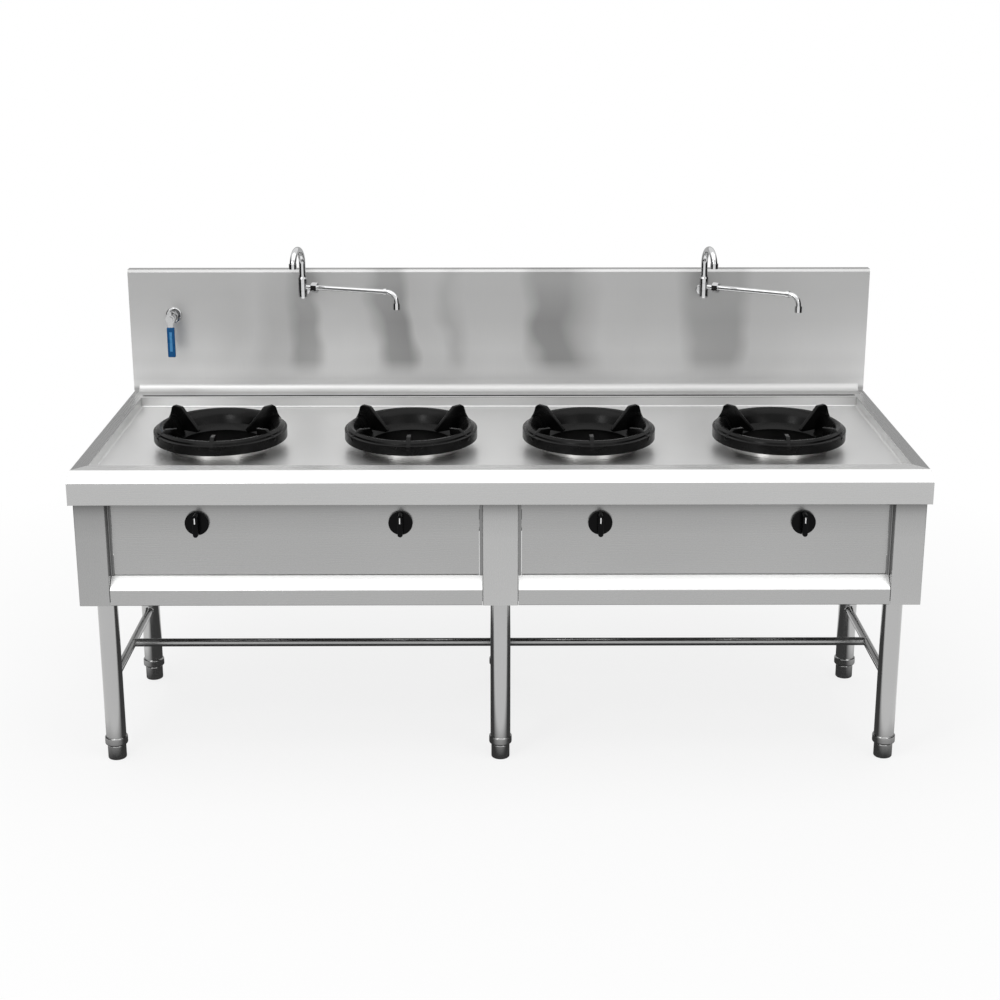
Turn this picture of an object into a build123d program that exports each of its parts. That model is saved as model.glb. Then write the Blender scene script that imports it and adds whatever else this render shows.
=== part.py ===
"""A four-burner gas wok range in folded stainless sheet, with cast-iron wok rings.

Frame: millimetres, +Z up, X along the range, Y from the cook's side (low) to the wall (high).
The origin is on the floor, under the middle of the range's outline.
"""

import os
from math import cos, hypot, radians, sin

from build123d import *

# ---- Overall ----
LENGTH = 2100.0            # end to end of the worktop
DEPTH = 920.0              # front of the apron to the back of the splashback
RIM_HEIGHT = 780.0         # top of the raised rim above the floor
SPLASH_RISE = 350.0        # splashback above the rim
SPLASH_DEPTH = 36.0        # splashback box, front face to back face

# ---- Sheet metal ----
TOP_SHEET = 1.5
PANEL_SHEET = 1.2
BEND = 2.0                 # inside radius of a folded corner
GAP = 1.0                  # gap between parts that are only fitted side by side
SEAM = 0.4                 # gap at a corner seam

# ---- Worktop ----
BEVEL_DEPTH = 43.0         # sloped front edge, measured level
BEVEL_DROP = 21.0          # sloped front edge, measured down
APRON_HEIGHT = 57.0        # upright front edge below the slope
HEM = 20.0                 # return along the bottom of the apron
RIM_FRONT = 43.0           # flat part of the front rim
RIM_SIDE = 36.0            # flat side rims
DECK_DROP = 28.0           # sunk deck below the rim
DECK_CORNER = 5.0          # rounding where the deck meets its walls
REAR_LIP = 15.0            # flat edge behind the deck
SLOT_WIDTH = 12.0          # drain slot in front of the splashback
TROUGH_DEPTH = 34.0
TROUGH_WIDTH = 26.0
SHELF_UPSTAND = 16.0
DRAIN_LENGTH = 24.0
DRAIN_FROM_END = 130.0
BURNER_HOLE_CLEARANCE = 0.5

# ---- Splashback ----
FOOT_REACH = 57.0          # flat foot in front of the splashback face
FOOT_TURNDOWN = 10.0
FOOT_INSET = 16.0          # foot stops short of each end
COVE_RADIUS = 20.0
TOP_CHAMFER = 6.0
CHAMFER_DROP = 7.0
SPLASH_HEM = 20.0
COVER_LAP = 12.0           # cover behind the hem of the splashback

# ---- Carcass ----
POST_SETBACK = 44.0        # post face behind the apron
POST_DEPTH = 30.0          # panel face behind the post face
POST_WIDTH = 77.0
CENTRE_POST_WIDTH = 88.0
POST_LIP = 8.0
CARCASS_BOTTOM = 428.0
CARCASS_DEPTH = 624.0
APRON_GAP = 0.5            # apron skin to the carcass side
LEDGE_UPRIGHT = 41.0       # upright face under the sloped ledge
LEDGE_HEM = 12.0
LEDGE_SHELF = 15.0
PANEL_FLANGE = 18.0
PANEL_TOP_FLANGE = 9.0
REAR_TOP_FLANGE = 20.0
REAR_HEM = 15.0
SIDE_FLANGE = 20.0
CLIP_WIDTH = 3.5
CLIP_HEIGHT = 38.0
CLIP_PROUD = 3.0
CLIP_FROM_TOP = 66.0

# ---- Under frame ----
LEG_X = 987.0
LEG_FRONT = 84.5           # front legs behind the apron face
LEG_REAR = 621.0
LEG_DIAMETER = 51.0
LEG_WALL = 1.5
BEAM_WIDTH = 60.0
BEAM_HEIGHT = 40.0
BEAM_SHEET = 2.0
RAIL_DIAMETER = 22.0
RAIL_HEIGHT = 211.0
SOCKET_DIAMETER = 58.0
SOCKET_BOTTOM = 40.0
SOCKET_HEIGHT = 22.0
SOCKET_PLUG = 25.0
SOCKET_BEAD = 4.0
PLUG_CLEARANCE = 0.1
FOOT_DIAMETER = 47.0
FOOT_EDGE = 4.0
STEM_RADIUS = 10.0
STEM_LENGTH = 42.0
RUNNING_CLEARANCE = 0.05   # a shaft that turns or slides in its hole
RAIL_WALL = 1.2
WELD_GAP = 0.05            # a rail's saddle end to the rail that it is welded to
BRACKET_SHEET = 3.0
BRACKET_HEIGHT = 180.0     # down the rear panel
BRACKET_NOSE = 16.0        # upright edge at the far end
BRACKET_WIDTH = 30.0
BRACKET_TROUGH_GAP = 6.0

# ---- Wok rings, cast iron ----
RING_X_OUTER = 726.0
RING_X_INNER = 231.0
RING_Y = 363.0             # ring centres behind the apron face
RING_RADIUS = 172.0
RING_WALL = 29.0           # outer wall at mid depth
RING_CREST_RADIUS = 153.0
RING_CREST = 39.0
RING_SEAT_RADIUS = 135.0   # top of the inner wall
RING_THROAT_RADIUS = 126.5
RING_BORE_RADIUS = 102.0
RING_SEAT_STEP = 5.0       # foot of the inner wall
RING_SEAT_DROP = 4.0       # top of the inner wall below the crest
RING_LEDGE_TOP = 2.0
RING_SKIRT = 13.0
RING_SHELL = 8.0
RING_EDGE = 3.0
RING_CROWN = 8.0
RING_TILT = 2.0            # degrees, the back stands higher
LUG_WIDTH = 9.0
LUG_FOOT_RADIUS = 162.0
LUG_PEAK_RADIUS = 151.0
LUG_TIP_RADIUS = 80.0
LUG_TIP_HEIGHT = 17.0
LUG_RISE_FRONT = 19.0
LUG_RISE_BACK = 36.0
LUG_LEAN = 3.0             # outer edge leans in by this
LUG_SHOULDER = 5.0
LUG_CROWN = 4.0
LUG_TIP_DEPTH = 8.0
LUG_NOSE = 3.0
FRONT_LUG_ANGLES = (210.0, 270.0, 330.0)
BACK_LUG_ANGLES = (30.0, 150.0)

# ---- Fire chambers and burners ----
COLLAR_RADIUS = 130.0
COLLAR_RISE = 23.0         # collar above the deck
CHAMBER_SHEET = 1.5
CHAMBER_BOTTOM = 600.0
CHAMBER_FLANGE = 18.0
CHAMBER_FLANGE_SHEET = 3.0
CHAMBER_FLOOR_RADIUS = 90.0
BURNER_RADIUS = 52.0
BURNER_NECK_RADIUS = 16.0
BURNER_NECK_DROP = 20.0    # neck below the chamber floor
BURNER_BOWL_RISE = 32.0    # widest part above the chamber floor
BURNER_RIM = 18.0          # upright wall above that
BURNER_ROUNDING = 5.0
BURNER_ARM_WIDTH = 12.0
BURNER_ARM_THICKNESS = 7.0
BURNER_ARM_COUNT = 3
BURNER_ARM_LAP = 16.0      # arm end resting on the chamber floor
JET_COUNT = 8
JET_CIRCLE = 38.0
JET_RADIUS = 5.0
JET_HEIGHT = 12.0

# ---- Gas train ----
KNOB_X_OUTER = 750.0
KNOB_X_INNER = 247.0
KNOB_Z = 636.0
KNOB_SKIRT_RADIUS = 30.0
KNOB_SKIRT = 8.0
KNOB_DEPTH = 35.0          # back of the skirt to the front of the grip
KNOB_GAP = 1.5
KNOB_GRIP_WIDTH = 16.0
KNOB_GRIP_LENGTH = 59.0
KNOB_GRIP_TAPER = 3.0      # degrees
KNOB_EDGE = 2.0
KNOB_STEM_RADIUS = 4.0
KNOB_STEM_REACH = 24.0
STEM_HOLE_CLEARANCE = 3.0
VALVE_RADIUS = 14.0
VALVE_FRONT = 6.0          # valve nose behind the panel face
MANIFOLD_Y = 140.0
MANIFOLD_RADIUS = 13.45
MANIFOLD_WALL = 2.6
MANIFOLD_END_X = 800.0
MANIFOLD_RISER_X = 930.0
MANIFOLD_BEND = 40.0
GAS_INLET_Y = 755.0
GAS_THREAD_RADIUS = 13.22
GAS_THREAD_LENGTH = 18.0
INLET_HOLE_CLEARANCE = 2.0
MIXER_Z = 540.0
MIXER_RADIUS = 14.0
MIXER_MOUTH_RADIUS = 20.0
MIXER_MOUTH_LENGTH = 16.0
MIXER_BEND = 26.0
FEED_SETBACK = 22.0        # feed pipe behind the valve nose
FEED_RADIUS = 6.5
FEED_BEND = 14.0
FEED_REACH = 56.0          # feed pipe to its jet, level
NOZZLE_FLATS = 15.0
NOZZLE_LENGTH = 12.0
JET_GAP = 4.0              # jet to the mouth of the mixing tube

# ---- Water ----
PIPE_RADIUS = 10.65
PIPE_WALL = 2.2
PIPE_BEND = 25.0
WATER_PIPE_Z = 1073.0
WATER_INLET_BOTTOM = 690.0
WATER_THREAD_RADIUS = 10.48
WATER_THREAD_LENGTH = 15.0
TEE_RADIUS = 12.5
TEE_LENGTH = 36.0
VALVE_X = -924.0
VALVE_Z = 1000.0
WATER_VALVE_RADIUS = 14.5
WATER_VALVE_LENGTH = 60.0
BONNET_RADIUS = 11.0
BONNET_REACH = 55.0
FLANGE_RADIUS = 23.0
FLANGE_THICKNESS = 6.0
BONNET_NUT_FLATS = 30.0
BONNET_NUT = 13.0
BONNET_NUT_REACH = 30.0    # nut in front of the splashback
LEVER_STEM_RADIUS = 5.0
LEVER_STEM_LENGTH = 20.0   # stem inside the bonnet
LEVER_STANDOFF = 11.0      # lever in front of the bonnet
LEVER_HUB_RADIUS = 13.0
LEVER_SHEET = 3.0
LEVER_WIDTH = 14.0
LEVER_LENGTH = 104.0       # pivot to the end of the blade
LEVER_NUT_FLATS = 16.0
LEVER_NUT = 6.0
LEVER_STOP_WIDTH = 7.0
LEVER_STOP_RISE = 8.0
GRIP_LENGTH = 85.0
GRIP_WIDTH = 21.5
GRIP_THICKNESS = 10.0
GRIP_EDGE = 3.0
GRIP_END_WALL = 3.0        # grip beyond the end of the lever

# ---- Faucets, both alike ----
FAUCET_LEFT_X = -548.0
FAUCET_RIGHT_X = 572.0
FAUCET_STANDOFF = 72.0     # body axis in front of the splashback
FAUCET_RADIUS = 12.5
FAUCET_BOTTOM = 1062.0
FAUCET_TOP = 1122.0
FAUCET_SHOULDER = 5.0      # cone at the top of the body
FAUCET_SHOULDER_RADIUS = 10.5
FAUCET_FOOT_RADIUS = 9.0   # chamfered bottom end
ARM_Z = 1094.0
SLEEVE_HEIGHT = 20.0
SLEEVE_CORE_RADIUS = 9.0
SLEEVE_GAP = 0.3
TAIL_RADIUS = 8.5
ESCUTCHEON_RADIUS = 26.0
ESCUTCHEON_THICKNESS = 9.0
SPOUT_RADIUS = 9.0
SPOUT_SPIGOT_RADIUS = 6.0
SPOUT_SPIGOT = 14.0
SPOUT_BEND = 44.0
SPOUT_RISE = 37.0          # upright part of the gooseneck
SPOUT_COLLAR = 5.0
SPOUT_COLLAR_RADIUS = 10.5
AERATOR_RADIUS = 10.8
AERATOR_LENGTH = 14.0
OUTLET_DEPTH = 6.0
OUTLET_WALL = 2.5
LEFT_SPOUT_TURN = -11.0    # degrees from straight ahead, as the spouts stand
RIGHT_SPOUT_TURN = 11.0
ARM_RADIUS = 7.0
ARM_LENGTH = 253.0         # body axis to the start of the elbow
ARM_NIPPLE_RADIUS = 6.0
ARM_NUT_START = 28.0
ARM_NUT_LENGTH = 17.0
ARM_NUT_FLATS = 24.0
ARM_ELBOW = 28.0
ARM_DROP = 47.0            # arm axis to the tip
ARM_TIP_RADIUS = 10.0
ARM_TIP_LENGTH = 17.0
ARM_COLLAR_RADIUS = 9.5
ARM_COLLAR_LENGTH = 8.0
LEFT_ARM_TURN = -19.0      # degrees from square to the right, as the arms stand
RIGHT_ARM_TURN = -30.0

# ---- Places that follow from the sizes above ----
FRONT = -DEPTH / 2
BACK = DEPTH / 2
HALF = LENGTH / 2
SPLASH_TOP = RIM_HEIGHT + SPLASH_RISE
SPLASH_FACE = BACK - SPLASH_DEPTH
RIM_UNDER = RIM_HEIGHT - TOP_SHEET
APRON_BOTTOM = RIM_HEIGHT - BEVEL_DROP - APRON_HEIGHT
RECESS_X = HALF - RIM_SIDE
RECESS_FRONT = FRONT + BEVEL_DEPTH + RIM_FRONT
FOOT_FRONT = SPLASH_FACE - FOOT_REACH
LIP_BACK = FOOT_FRONT - SLOT_WIDTH
RECESS_BACK = LIP_BACK - REAR_LIP
DECK_Z = RIM_HEIGHT - DECK_DROP
DECK_UNDER = DECK_Z - TOP_SHEET
RING_BASE = DECK_Z + COLLAR_RISE
RING_CENTRES = [(x, FRONT + RING_Y) for x in (-RING_X_OUTER, -RING_X_INNER, RING_X_INNER, RING_X_OUTER)]
KNOB_XS = (-KNOB_X_OUTER, -KNOB_X_INNER, KNOB_X_INNER, KNOB_X_OUTER)
POST_FACE = FRONT + POST_SETBACK
PANEL_FACE = POST_FACE + POST_DEPTH
CARCASS_BACK = POST_FACE + CARCASS_DEPTH
CARCASS_X = HALF - TOP_SHEET - APRON_GAP
POST_INNER_X = CARCASS_X - POST_WIDTH
LEDGE_TOP = CARCASS_BOTTOM + LEDGE_UPRIGHT + POST_DEPTH
BEAM_BOTTOM = CARCASS_BOTTOM + PANEL_SHEET
BEAM_TOP = BEAM_BOTTOM + BEAM_HEIGHT
LEG_RADIUS = LEG_DIAMETER / 2
LEG_TOP = BEAM_TOP - BEAM_SHEET
SOCKET_TOP = SOCKET_BOTTOM + SOCKET_HEIGHT
LEG_ROWS = {"front": FRONT + LEG_FRONT, "rear": FRONT + LEG_REAR}
LEG_COLUMNS = {"left": -LEG_X, "centre": 0.0, "right": LEG_X}
COVER_Y = BACK - 2 * PANEL_SHEET
PIPE_Y = (SPLASH_FACE + BACK) / 2
FAUCET_Y = SPLASH_FACE - FAUCET_STANDOFF
FAUCETS = {
    "left": (FAUCET_LEFT_X, LEFT_SPOUT_TURN, LEFT_ARM_TURN),
    "right": (FAUCET_RIGHT_X, RIGHT_SPOUT_TURN, RIGHT_ARM_TURN),
}


# ---- Helpers ----
def box(x_range, y_range, z_range):
    """A block between two corners."""
    size = [high - low for low, high in (x_range, y_range, z_range)]
    corner = [low for low, high in (x_range, y_range, z_range)]
    return Pos(*corner) * Box(*size, align=(Align.MIN, Align.MIN, Align.MIN))


def rod(start, direction, radius, length):
    """A round bar from start along direction."""
    return Plane(start, z_dir=direction) * Cylinder(
        radius, length, align=(Align.CENTER, Align.CENTER, Align.MIN)
    )


def hexagon(start, direction, flats, length, turn=0.0):
    """A hexagon bar from start along direction."""
    section = Plane(start, z_dir=direction) * Rot(Z=turn) * RegularPolygon(flats / 2, 6, major_radius=False)
    return extrude(section, amount=length)


def side_step(path, sheet):
    """The points of path moved sheet to its left."""
    normals = []
    for (x0, y0), (x1, y1) in zip(path, path[1:]):
        run = hypot(x1 - x0, y1 - y0)
        normals.append(((y0 - y1) / run, (x1 - x0) / run))
    moved = [(path[0][0] + sheet * normals[0][0], path[0][1] + sheet * normals[0][1])]
    for (x, y), before, after in zip(path[1:-1], normals, normals[1:]):
        scale = sheet / (1 + before[0] * after[0] + before[1] * after[1])
        moved.append((x + scale * (before[0] + after[0]), y + scale * (before[1] + after[1])))
    moved.append((path[-1][0] + sheet * normals[-1][0], path[-1][1] + sheet * normals[-1][1]))
    return moved


def folded(path, sheet, plane, length, bends=None):
    """A sheet folded along path and drawn out by length; it lies to the left of the path."""
    count = len(path) - 2
    bends = bends or [BEND] * count
    near, far = [], []
    for (x0, y0), (x1, y1), (x2, y2), bend in zip(path, path[1:], path[2:], bends):
        turns_left = (x1 - x0) * (y2 - y1) - (y1 - y0) * (x2 - x1) > 0
        near.append(bend + sheet if turns_left else bend)
        far.append(bend if turns_left else bend + sheet)
    moved = side_step(path, sheet)
    outline = Curve() + FilletPolyline(*path, radius=near) + FilletPolyline(*moved, radius=far)
    outline += Line(path[0], moved[0])
    outline += Line(path[-1], moved[-1])
    return extrude(plane * make_face(outline), amount=length)


def along_x(start):
    """Sections drawn in (Y, Z) and drawn out towards +X from start."""
    return Plane(origin=(start, 0, 0), x_dir=(0, 1, 0), z_dir=(1, 0, 0))


def along_y(start):
    """Sections drawn in (X, Z) and drawn out towards -Y from start."""
    return Plane(origin=(0, start, 0), x_dir=(1, 0, 0), z_dir=(0, -1, 0))


def turned(points, centre_x, centre_y):
    """A solid of revolution about an upright axis, from (radius, height) points."""
    section = Plane.XZ * make_face(Polyline(*points, close=True))
    return Pos(centre_x, centre_y, 0) * revolve(section, axis=Axis.Z)


def pipe(points, radius, bend, wall=None):
    """A pipe along points, with equal bends; solid where no wall is given."""
    path = FilletPolyline(*points, radius=bend)
    start = Plane(path @ 0, z_dir=path % 0)
    solid = sweep(start * Circle(radius), path=path)
    if wall:
        solid -= sweep(start * Circle(radius - wall), path=path)
    return solid


def mirrored_pair(shape):
    """The same part for the other end of the range."""
    return mirror(shape, about=Plane.YZ)


# ---- Worktop ----
def front_profile():
    """The front rim from the recess over the slope and down the apron, in (Y, Z)."""
    return [
        (RECESS_FRONT, RIM_HEIGHT),
        (FRONT + BEVEL_DEPTH, RIM_HEIGHT),
        (FRONT, RIM_HEIGHT - BEVEL_DROP),
        (FRONT, APRON_BOTTOM),
        (FRONT + HEM, APRON_BOTTOM),
    ]


def mitre(side):
    """The corner of the flat front rim that belongs to a side rim, over its sheet."""
    corner = [
        (side * RECESS_X, RECESS_FRONT),
        (side * HALF, FRONT + BEVEL_DEPTH),
        (side * HALF, RECESS_FRONT),
    ]
    face = make_face(Polyline(*corner, close=True))
    return extrude(Pos(0, 0, RIM_UNDER) * face, amount=TOP_SHEET)


def make_rim_front():
    rim = folded(front_profile(), TOP_SHEET, along_x(-HALF), LENGTH)
    for side in (-1, 1):
        rim -= mitre(side)
        ends = sorted((side * HALF, side * (HALF - TOP_SHEET - HEM)))
        rim -= box(ends, (FRONT + TOP_SHEET, RECESS_FRONT), (APRON_BOTTOM, APRON_BOTTOM + BEND + TOP_SHEET))
    return rim


def make_rim_side(side):
    """A side rim with its apron, cut to the slope of the front rim."""
    path = [(-RECESS_X, RIM_HEIGHT), (-HALF, RIM_HEIGHT), (-HALF, APRON_BOTTOM)]
    rim = folded(path, TOP_SHEET, along_y(BACK), DEPTH)
    inner = side_step(front_profile(), TOP_SHEET + SEAM)
    clear = RIM_HEIGHT + DECK_DROP
    shape = [
        (FRONT - HEM, APRON_BOTTOM - HEM),
        (inner[3][0], APRON_BOTTOM - HEM),
        inner[2],
        inner[1],
        (inner[1][0], clear),
        (FRONT - HEM, clear),
    ]
    rim -= extrude(along_x(-HALF) * make_face(Polyline(*shape, close=True)), amount=LENGTH)
    front_strip = box((-HALF, -RECESS_X), (FRONT, RECESS_FRONT), (RIM_UNDER, RIM_HEIGHT))
    rim -= front_strip - mitre(-1)
    under_foot = (-HALF + FOOT_INSET, -RECESS_X)
    rim -= box(under_foot, (FOOT_FRONT, BACK), (RIM_UNDER, RIM_HEIGHT))
    return rim if side < 0 else mirrored_pair(rim)


def make_deck_tray():
    """The sunk deck with its four walls and the burner holes."""
    outer = box(
        (-RECESS_X - TOP_SHEET, RECESS_X + TOP_SHEET),
        (RECESS_FRONT - TOP_SHEET, RECESS_BACK + TOP_SHEET),
        (DECK_UNDER, RIM_UNDER),
    )
    outer = fillet(outer.faces().sort_by(Axis.Z)[0].edges(), DECK_CORNER + TOP_SHEET)
    inner = box((-RECESS_X, RECESS_X), (RECESS_FRONT, RECESS_BACK), (DECK_Z, RIM_HEIGHT))
    inner = fillet(inner.faces().sort_by(Axis.Z)[0].edges(), DECK_CORNER)
    tray = outer - inner
    for x, y in RING_CENTRES:
        tray -= rod((x, y, DECK_UNDER - GAP), (0, 0, 1), COLLAR_RADIUS + BURNER_HOLE_CLEARANCE, DECK_DROP)
    return tray


def make_rear_trough():
    """The rear lip, the drain trough under the slot and the shelf that carries the splashback."""
    shelf = RIM_HEIGHT - PANEL_SHEET
    floor = RIM_HEIGHT - TROUGH_DEPTH
    upstand = COVER_Y - TOP_SHEET
    path = [
        (upstand, shelf + SHELF_UPSTAND),
        (upstand, shelf),
        (LIP_BACK + TROUGH_WIDTH, shelf),
        (LIP_BACK + TROUGH_WIDTH, floor),
        (LIP_BACK, floor),
        (LIP_BACK, RIM_HEIGHT),
        (RECESS_BACK, RIM_HEIGHT),
    ]
    trough = folded(path, TOP_SHEET, along_x(-RECESS_X), 2 * RECESS_X)
    for side in (-1, 1):
        ends = sorted((side * RECESS_X, side * (RECESS_X - TOP_SHEET)))
        trough += box(ends, (LIP_BACK, LIP_BACK + TROUGH_WIDTH), (floor, RIM_UNDER))
    drain_x = -RECESS_X + DRAIN_FROM_END
    drain_y = LIP_BACK + TROUGH_WIDTH / 2
    bore = TROUGH_WIDTH / 2 - BEND - TOP_SHEET
    trough += rod((drain_x, drain_y, floor - TOP_SHEET), (0, 0, -1), bore + TOP_SHEET, DRAIN_LENGTH)
    trough -= rod((drain_x, drain_y, floor + GAP), (0, 0, -1), bore, DRAIN_LENGTH + 3 * TOP_SHEET)
    inlet = PIPE_RADIUS + INLET_HOLE_CLEARANCE
    trough -= rod((VALVE_X, PIPE_Y, RIM_HEIGHT), (0, 0, -1), inlet, TOP_SHEET * 3)
    return trough


# ---- Splashback ----
def splash_corners():
    """The top corners of the splashback's outline from its face to its back, in (Y, Z)."""
    return [
        (SPLASH_FACE, SPLASH_TOP - CHAMFER_DROP),
        (SPLASH_FACE + TOP_CHAMFER, SPLASH_TOP),
        (BACK, SPLASH_TOP),
    ]


def make_backsplash():
    """The splashback with its foot, cove, top and end caps."""
    path = [
        (BACK, SPLASH_TOP - SPLASH_HEM),
        *splash_corners()[::-1],
        (SPLASH_FACE, RIM_HEIGHT),
        (FOOT_FRONT, RIM_HEIGHT),
        (FOOT_FRONT, RIM_HEIGHT - FOOT_TURNDOWN),
    ]
    splash = folded(path, PANEL_SHEET, along_x(-HALF), LENGTH, [BEND, BEND, BEND, COVE_RADIUS, BEND])
    cap_edge = FilletPolyline(
        (SPLASH_FACE, RIM_HEIGHT), *splash_corners(), (BACK, RIM_HEIGHT), radius=BEND + PANEL_SHEET
    )
    cap_face = make_face(Curve() + cap_edge + Line(cap_edge @ 1, cap_edge @ 0))
    face_skin = (SPLASH_FACE, SPLASH_FACE + PANEL_SHEET)
    for side in (-1, 1):
        foot_end = sorted((side * HALF, side * (HALF - FOOT_INSET)))
        foot_zone = (RIM_HEIGHT - FOOT_TURNDOWN, RIM_HEIGHT + COVE_RADIUS)
        splash -= box(foot_end, (FOOT_FRONT, SPLASH_FACE + PANEL_SHEET), foot_zone)
        slot_end = sorted((side * HALF, side * (RECESS_X - TOP_SHEET - GAP)))
        turndown_zone = (RIM_HEIGHT - FOOT_TURNDOWN, RIM_HEIGHT - PANEL_SHEET)
        splash -= box(slot_end, (FOOT_FRONT, FOOT_FRONT + BEND + PANEL_SHEET), turndown_zone)
        splash += box(foot_end, face_skin, (RIM_HEIGHT, RIM_HEIGHT + COVE_RADIUS))
        cap_start = -HALF if side < 0 else HALF - PANEL_SHEET
        splash += extrude(along_x(cap_start) * cap_face, amount=PANEL_SHEET)
    for x, _, _ in FAUCETS.values():
        hole = TAIL_RADIUS + BURNER_HOLE_CLEARANCE
        splash -= rod((x, SPLASH_FACE - GAP, WATER_PIPE_Z), (0, 1, 0), hole, 4 * GAP)
    hole = BONNET_RADIUS + BURNER_HOLE_CLEARANCE
    splash -= rod((VALVE_X, SPLASH_FACE - GAP, VALVE_Z), (0, 1, 0), hole, 4 * GAP)
    return splash


def make_backsplash_cover():
    width = HALF - PANEL_SHEET
    top = SPLASH_TOP - SPLASH_HEM + COVER_LAP
    return box((-width, width), (COVER_Y, COVER_Y + PANEL_SHEET), (RIM_HEIGHT, top))


# ---- Carcass ----
def upright(path, bottom, top):
    """A sheet folded along an (X, Y) path, standing from bottom to top."""
    return folded(path, PANEL_SHEET, Plane(origin=(0, 0, bottom)), top - bottom)


def post_tab(x_low, x_high):
    """The tab at the foot of a post that a leg beam rests on."""
    y_range = (POST_FACE + PANEL_SHEET, POST_FACE + LEDGE_HEM)
    return box((x_low, x_high), y_range, (CARCASS_BOTTOM, BEAM_BOTTOM))


def side_bend_relief():
    """The room that the bend of the left rim takes from what stands inside it."""
    x_range = (-CARCASS_X, -CARCASS_X + BEND)
    return box(x_range, (POST_FACE, CARCASS_BACK), (RIM_UNDER - BEND, RIM_UNDER))


def make_corner_post(side):
    """The left front post; the right one is its mirror image."""
    path = [
        (-CARCASS_X, PANEL_FACE - GAP),
        (-CARCASS_X, POST_FACE),
        (-POST_INNER_X, POST_FACE),
        (-POST_INNER_X, PANEL_FACE),
        (-POST_INNER_X + POST_LIP, PANEL_FACE),
    ]
    post = upright(path, CARCASS_BOTTOM, RIM_UNDER)
    notch_x = (-POST_INNER_X - BEND - PANEL_SHEET, -POST_INNER_X + POST_LIP)
    notch_y = (POST_FACE + PANEL_SHEET, PANEL_FACE + PANEL_SHEET)
    post -= box(notch_x, notch_y, (CARCASS_BOTTOM, BEAM_TOP + GAP))
    post -= side_bend_relief()
    post += post_tab(-CARCASS_X + BEND + PANEL_SHEET, -POST_INNER_X - BEND - PANEL_SHEET)
    return post if side < 0 else mirrored_pair(post)


def make_centre_post():
    half = CENTRE_POST_WIDTH / 2
    path = [
        (-half - POST_LIP, PANEL_FACE),
        (-half, PANEL_FACE),
        (-half, POST_FACE),
        (half, POST_FACE),
        (half, PANEL_FACE),
        (half + POST_LIP, PANEL_FACE),
    ]
    tab_end = half - BEND - PANEL_SHEET
    return upright(path, CARCASS_BOTTOM, RIM_UNDER) + post_tab(-tab_end, tab_end)


def make_front_panel(side):
    """The left knob panel; the right one is its mirror image."""
    path = [
        (PANEL_FACE + PANEL_TOP_FLANGE, RIM_UNDER),
        (PANEL_FACE, RIM_UNDER),
        (PANEL_FACE, LEDGE_TOP),
        (PANEL_FACE + PANEL_FLANGE, LEDGE_TOP),
    ]
    outer_end = POST_INNER_X - POST_LIP - GAP
    inner_end = CENTRE_POST_WIDTH / 2 + POST_LIP + GAP
    panel = folded(path, PANEL_SHEET, along_x(-outer_end), outer_end - inner_end)
    for x in (-KNOB_X_OUTER, -KNOB_X_INNER):
        hole = KNOB_STEM_RADIUS + STEM_HOLE_CLEARANCE
        panel -= rod((x, PANEL_FACE - GAP, KNOB_Z), (0, 1, 0), hole, PANEL_SHEET + 2 * GAP)
    return panel if side < 0 else mirrored_pair(panel)


def make_ledge(side):
    """The left sloped ledge under the knob panel; the right one is its mirror image."""
    path = [
        (PANEL_FACE + LEDGE_SHELF, LEDGE_TOP),
        (PANEL_FACE, LEDGE_TOP),
        (POST_FACE, LEDGE_TOP - POST_DEPTH),
        (POST_FACE, CARCASS_BOTTOM),
        (POST_FACE + LEDGE_HEM, CARCASS_BOTTOM),
    ]
    outer_end = POST_INNER_X - GAP
    inner_end = CENTRE_POST_WIDTH / 2 + GAP
    ledge = folded(path, PANEL_SHEET, along_x(-outer_end), outer_end - inner_end)
    lip_y = (PANEL_FACE - PANEL_SHEET, PANEL_FACE + LEDGE_SHELF)
    lip_z = (LEDGE_TOP - POST_LIP, LEDGE_TOP)
    ledge -= box((-outer_end, -POST_INNER_X + POST_LIP + GAP), lip_y, lip_z)
    ledge -= box((-inner_end - POST_LIP, -inner_end), lip_y, lip_z)
    return ledge if side < 0 else mirrored_pair(ledge)


def make_side_panel(side):
    """The left side panel; the right one is its mirror image."""
    path = [
        (-CARCASS_X + SIDE_FLANGE, CARCASS_BACK),
        (-CARCASS_X, CARCASS_BACK),
        (-CARCASS_X, PANEL_FACE),
        (-CARCASS_X + SIDE_FLANGE, PANEL_FACE),
    ]
    panel = upright(path, CARCASS_BOTTOM, RIM_UNDER) - side_bend_relief()
    return panel if side < 0 else mirrored_pair(panel)


def make_rear_panel():
    path = [
        (CARCASS_BACK - REAR_HEM, CARCASS_BOTTOM),
        (CARCASS_BACK, CARCASS_BOTTOM),
        (CARCASS_BACK, DECK_UNDER),
        (CARCASS_BACK - REAR_TOP_FLANGE, DECK_UNDER),
    ]
    end = CARCASS_X - SIDE_FLANGE - GAP
    panel = folded(path, PANEL_SHEET, along_x(-end), 2 * end)
    hole = MANIFOLD_RADIUS + INLET_HOLE_CLEARANCE
    return panel - rod((MANIFOLD_RISER_X, CARCASS_BACK + GAP, KNOB_Z), (0, -1, 0), hole, PANEL_SHEET + 2 * GAP)


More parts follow.
